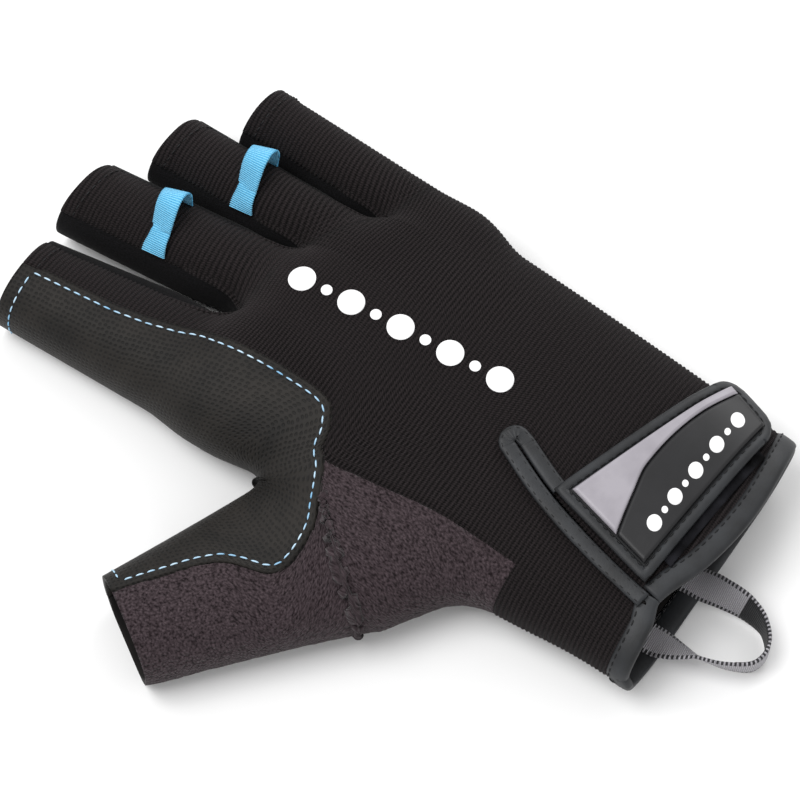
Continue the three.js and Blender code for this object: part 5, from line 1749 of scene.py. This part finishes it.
# %% [markdown]
# ## Print
# The back and the black patch carry a plain row of white dots, pressed on as a thin film that
# follows the cloth.
# An image could carry it, but a disc worked out as a grid lies on the cloth at any size
# and has a clean edge.

# %% Print
FILM, FILM_WALL, DISC_CELLS = 0.45, 0.3, 16


def add_print(name, places, reach, surface_at, material):
    """Discs laid on a surface. A square grid (a, b) becomes a disc as a * sqrt(1 - b^2 / 2),
    b * sqrt(1 - a^2 / 2)."""
    a, b = np.meshgrid(*[np.linspace(-1, 1, DISC_CELLS + 1)] * 2)
    across, up = a * np.sqrt(1 - b**2 / 2), b * np.sqrt(1 - a**2 / 2)
    patches = []
    for (x, y), size in zip(places, reach):
        points, normal = surface_at(x + size * across, y + size * up)
        patches.append((points, normal, thread_map(points)))
    piece = add_panel(name, patches)
    return finish_piece(piece, material, wall=FILM_WALL)


def on_back(x, y):
    """Print places on the back of the hand."""
    points = skin(*hand_seed(x, y))
    normal = skin_normal(points)
    return points + normal * FILM, normal


DOTS = 9
large = np.arange(DOTS) % 2 == 0
back_dots = list(zip(np.linspace(1.5, 6.5, DOTS), np.linspace(127, 69, DOTS)))
add_print("back_print", back_dots, np.where(large, 3.6, 1.5), on_back, PRINT)

PATCH_FILM = 0.08


def on_patch(x, y):
    """Print places on the strap: x is along it, y across it, in millimetres."""
    u = x / STRAP_LENGTH
    return strap_points(u, y / width_at(u), SEAM_GAP + PATCH_THICKNESS + PATCH_FILM + 0 * u)


patch_dots = list(zip(np.linspace(12, 47, DOTS), np.linspace(7.5, 9.0, DOTS)))
add_print("patch_print", patch_dots, np.where(large, 2.1, 0.9), on_patch, PRINT)

# %% [markdown]
# ## Floor, light and camera
# A pale floor, a broad soft light overhead and a weaker one from the side, as on a product
# table. The camera stands at the photograph's angle.

# %% Stage
floor_mesh = bpy.data.meshes.new("floor")
SPAN = 4.0
floor_mesh.from_pydata([(-SPAN, -SPAN, 0), (SPAN, -SPAN, 0), (SPAN, SPAN, 0), (-SPAN, SPAN, 0)],
                       [], [(0, 1, 2, 3)])
floor = bpy.data.objects.new("floor", floor_mesh)
bpy.context.scene.collection.objects.link(floor)
pale, tree = start_material("pale floor")
surface = node(tree, "BsdfPrincipled", {"Base Color": linear("#f4f4f4"), "Roughness": 0.9})
node(tree, "OutputMaterial", [surface])
floor.data.materials.append(pale)

world = bpy.data.worlds.new("studio")
bpy.context.scene.world = world
world.use_nodes = True
world.node_tree.nodes["Background"].inputs[0].default_value = (1, 1, 1, 1)
world.node_tree.nodes["Background"].inputs[1].default_value = 0.75


def add_light(name, place, power, size):
    """A square lamp that looks at the middle of the scene."""
    lamp = bpy.data.lights.new(name, "AREA")
    lamp.energy, lamp.size = power, size
    thing = bpy.data.objects.new(name, lamp)
    thing.location = place
    thing.rotation_euler = (-Vector(place)).to_track_quat("-Z", "Y").to_euler()
    bpy.context.scene.collection.objects.link(thing)


add_light("overhead", (-0.3, 0.5, 1.3), 13, 0.9)
add_light("side", (1.2, 0.2, 0.7), 6, 0.7)
print("lights:", len(bpy.data.lights))

# %% Camera
AZIMUTH, ELEVATION, DISTANCE = math.radians(-55.67), math.radians(66), 1.0
TARGET = (-7.4, 90.4, 15.0)
LENS, SENSOR = 174.15, 36.0
back_way = Vector((math.sin(AZIMUTH) * math.cos(ELEVATION),
                   -math.cos(AZIMUTH) * math.cos(ELEVATION), math.sin(ELEVATION)))
camera_data = bpy.data.cameras.new("camera")
camera_data.lens, camera_data.sensor_width = LENS, SENSOR
camera = bpy.data.objects.new("camera", camera_data)
camera.location = Vector(TARGET) * MM + shift + back_way * DISTANCE
camera.rotation_mode = "QUATERNION"
camera.rotation_quaternion = (-back_way).to_track_quat("-Z", "Y")
bpy.context.scene.collection.objects.link(camera)
bpy.context.scene.camera = camera
bpy.context.scene.view_settings.view_transform = "Standard"
print("camera, m:", [round(v, 3) for v in camera.location])
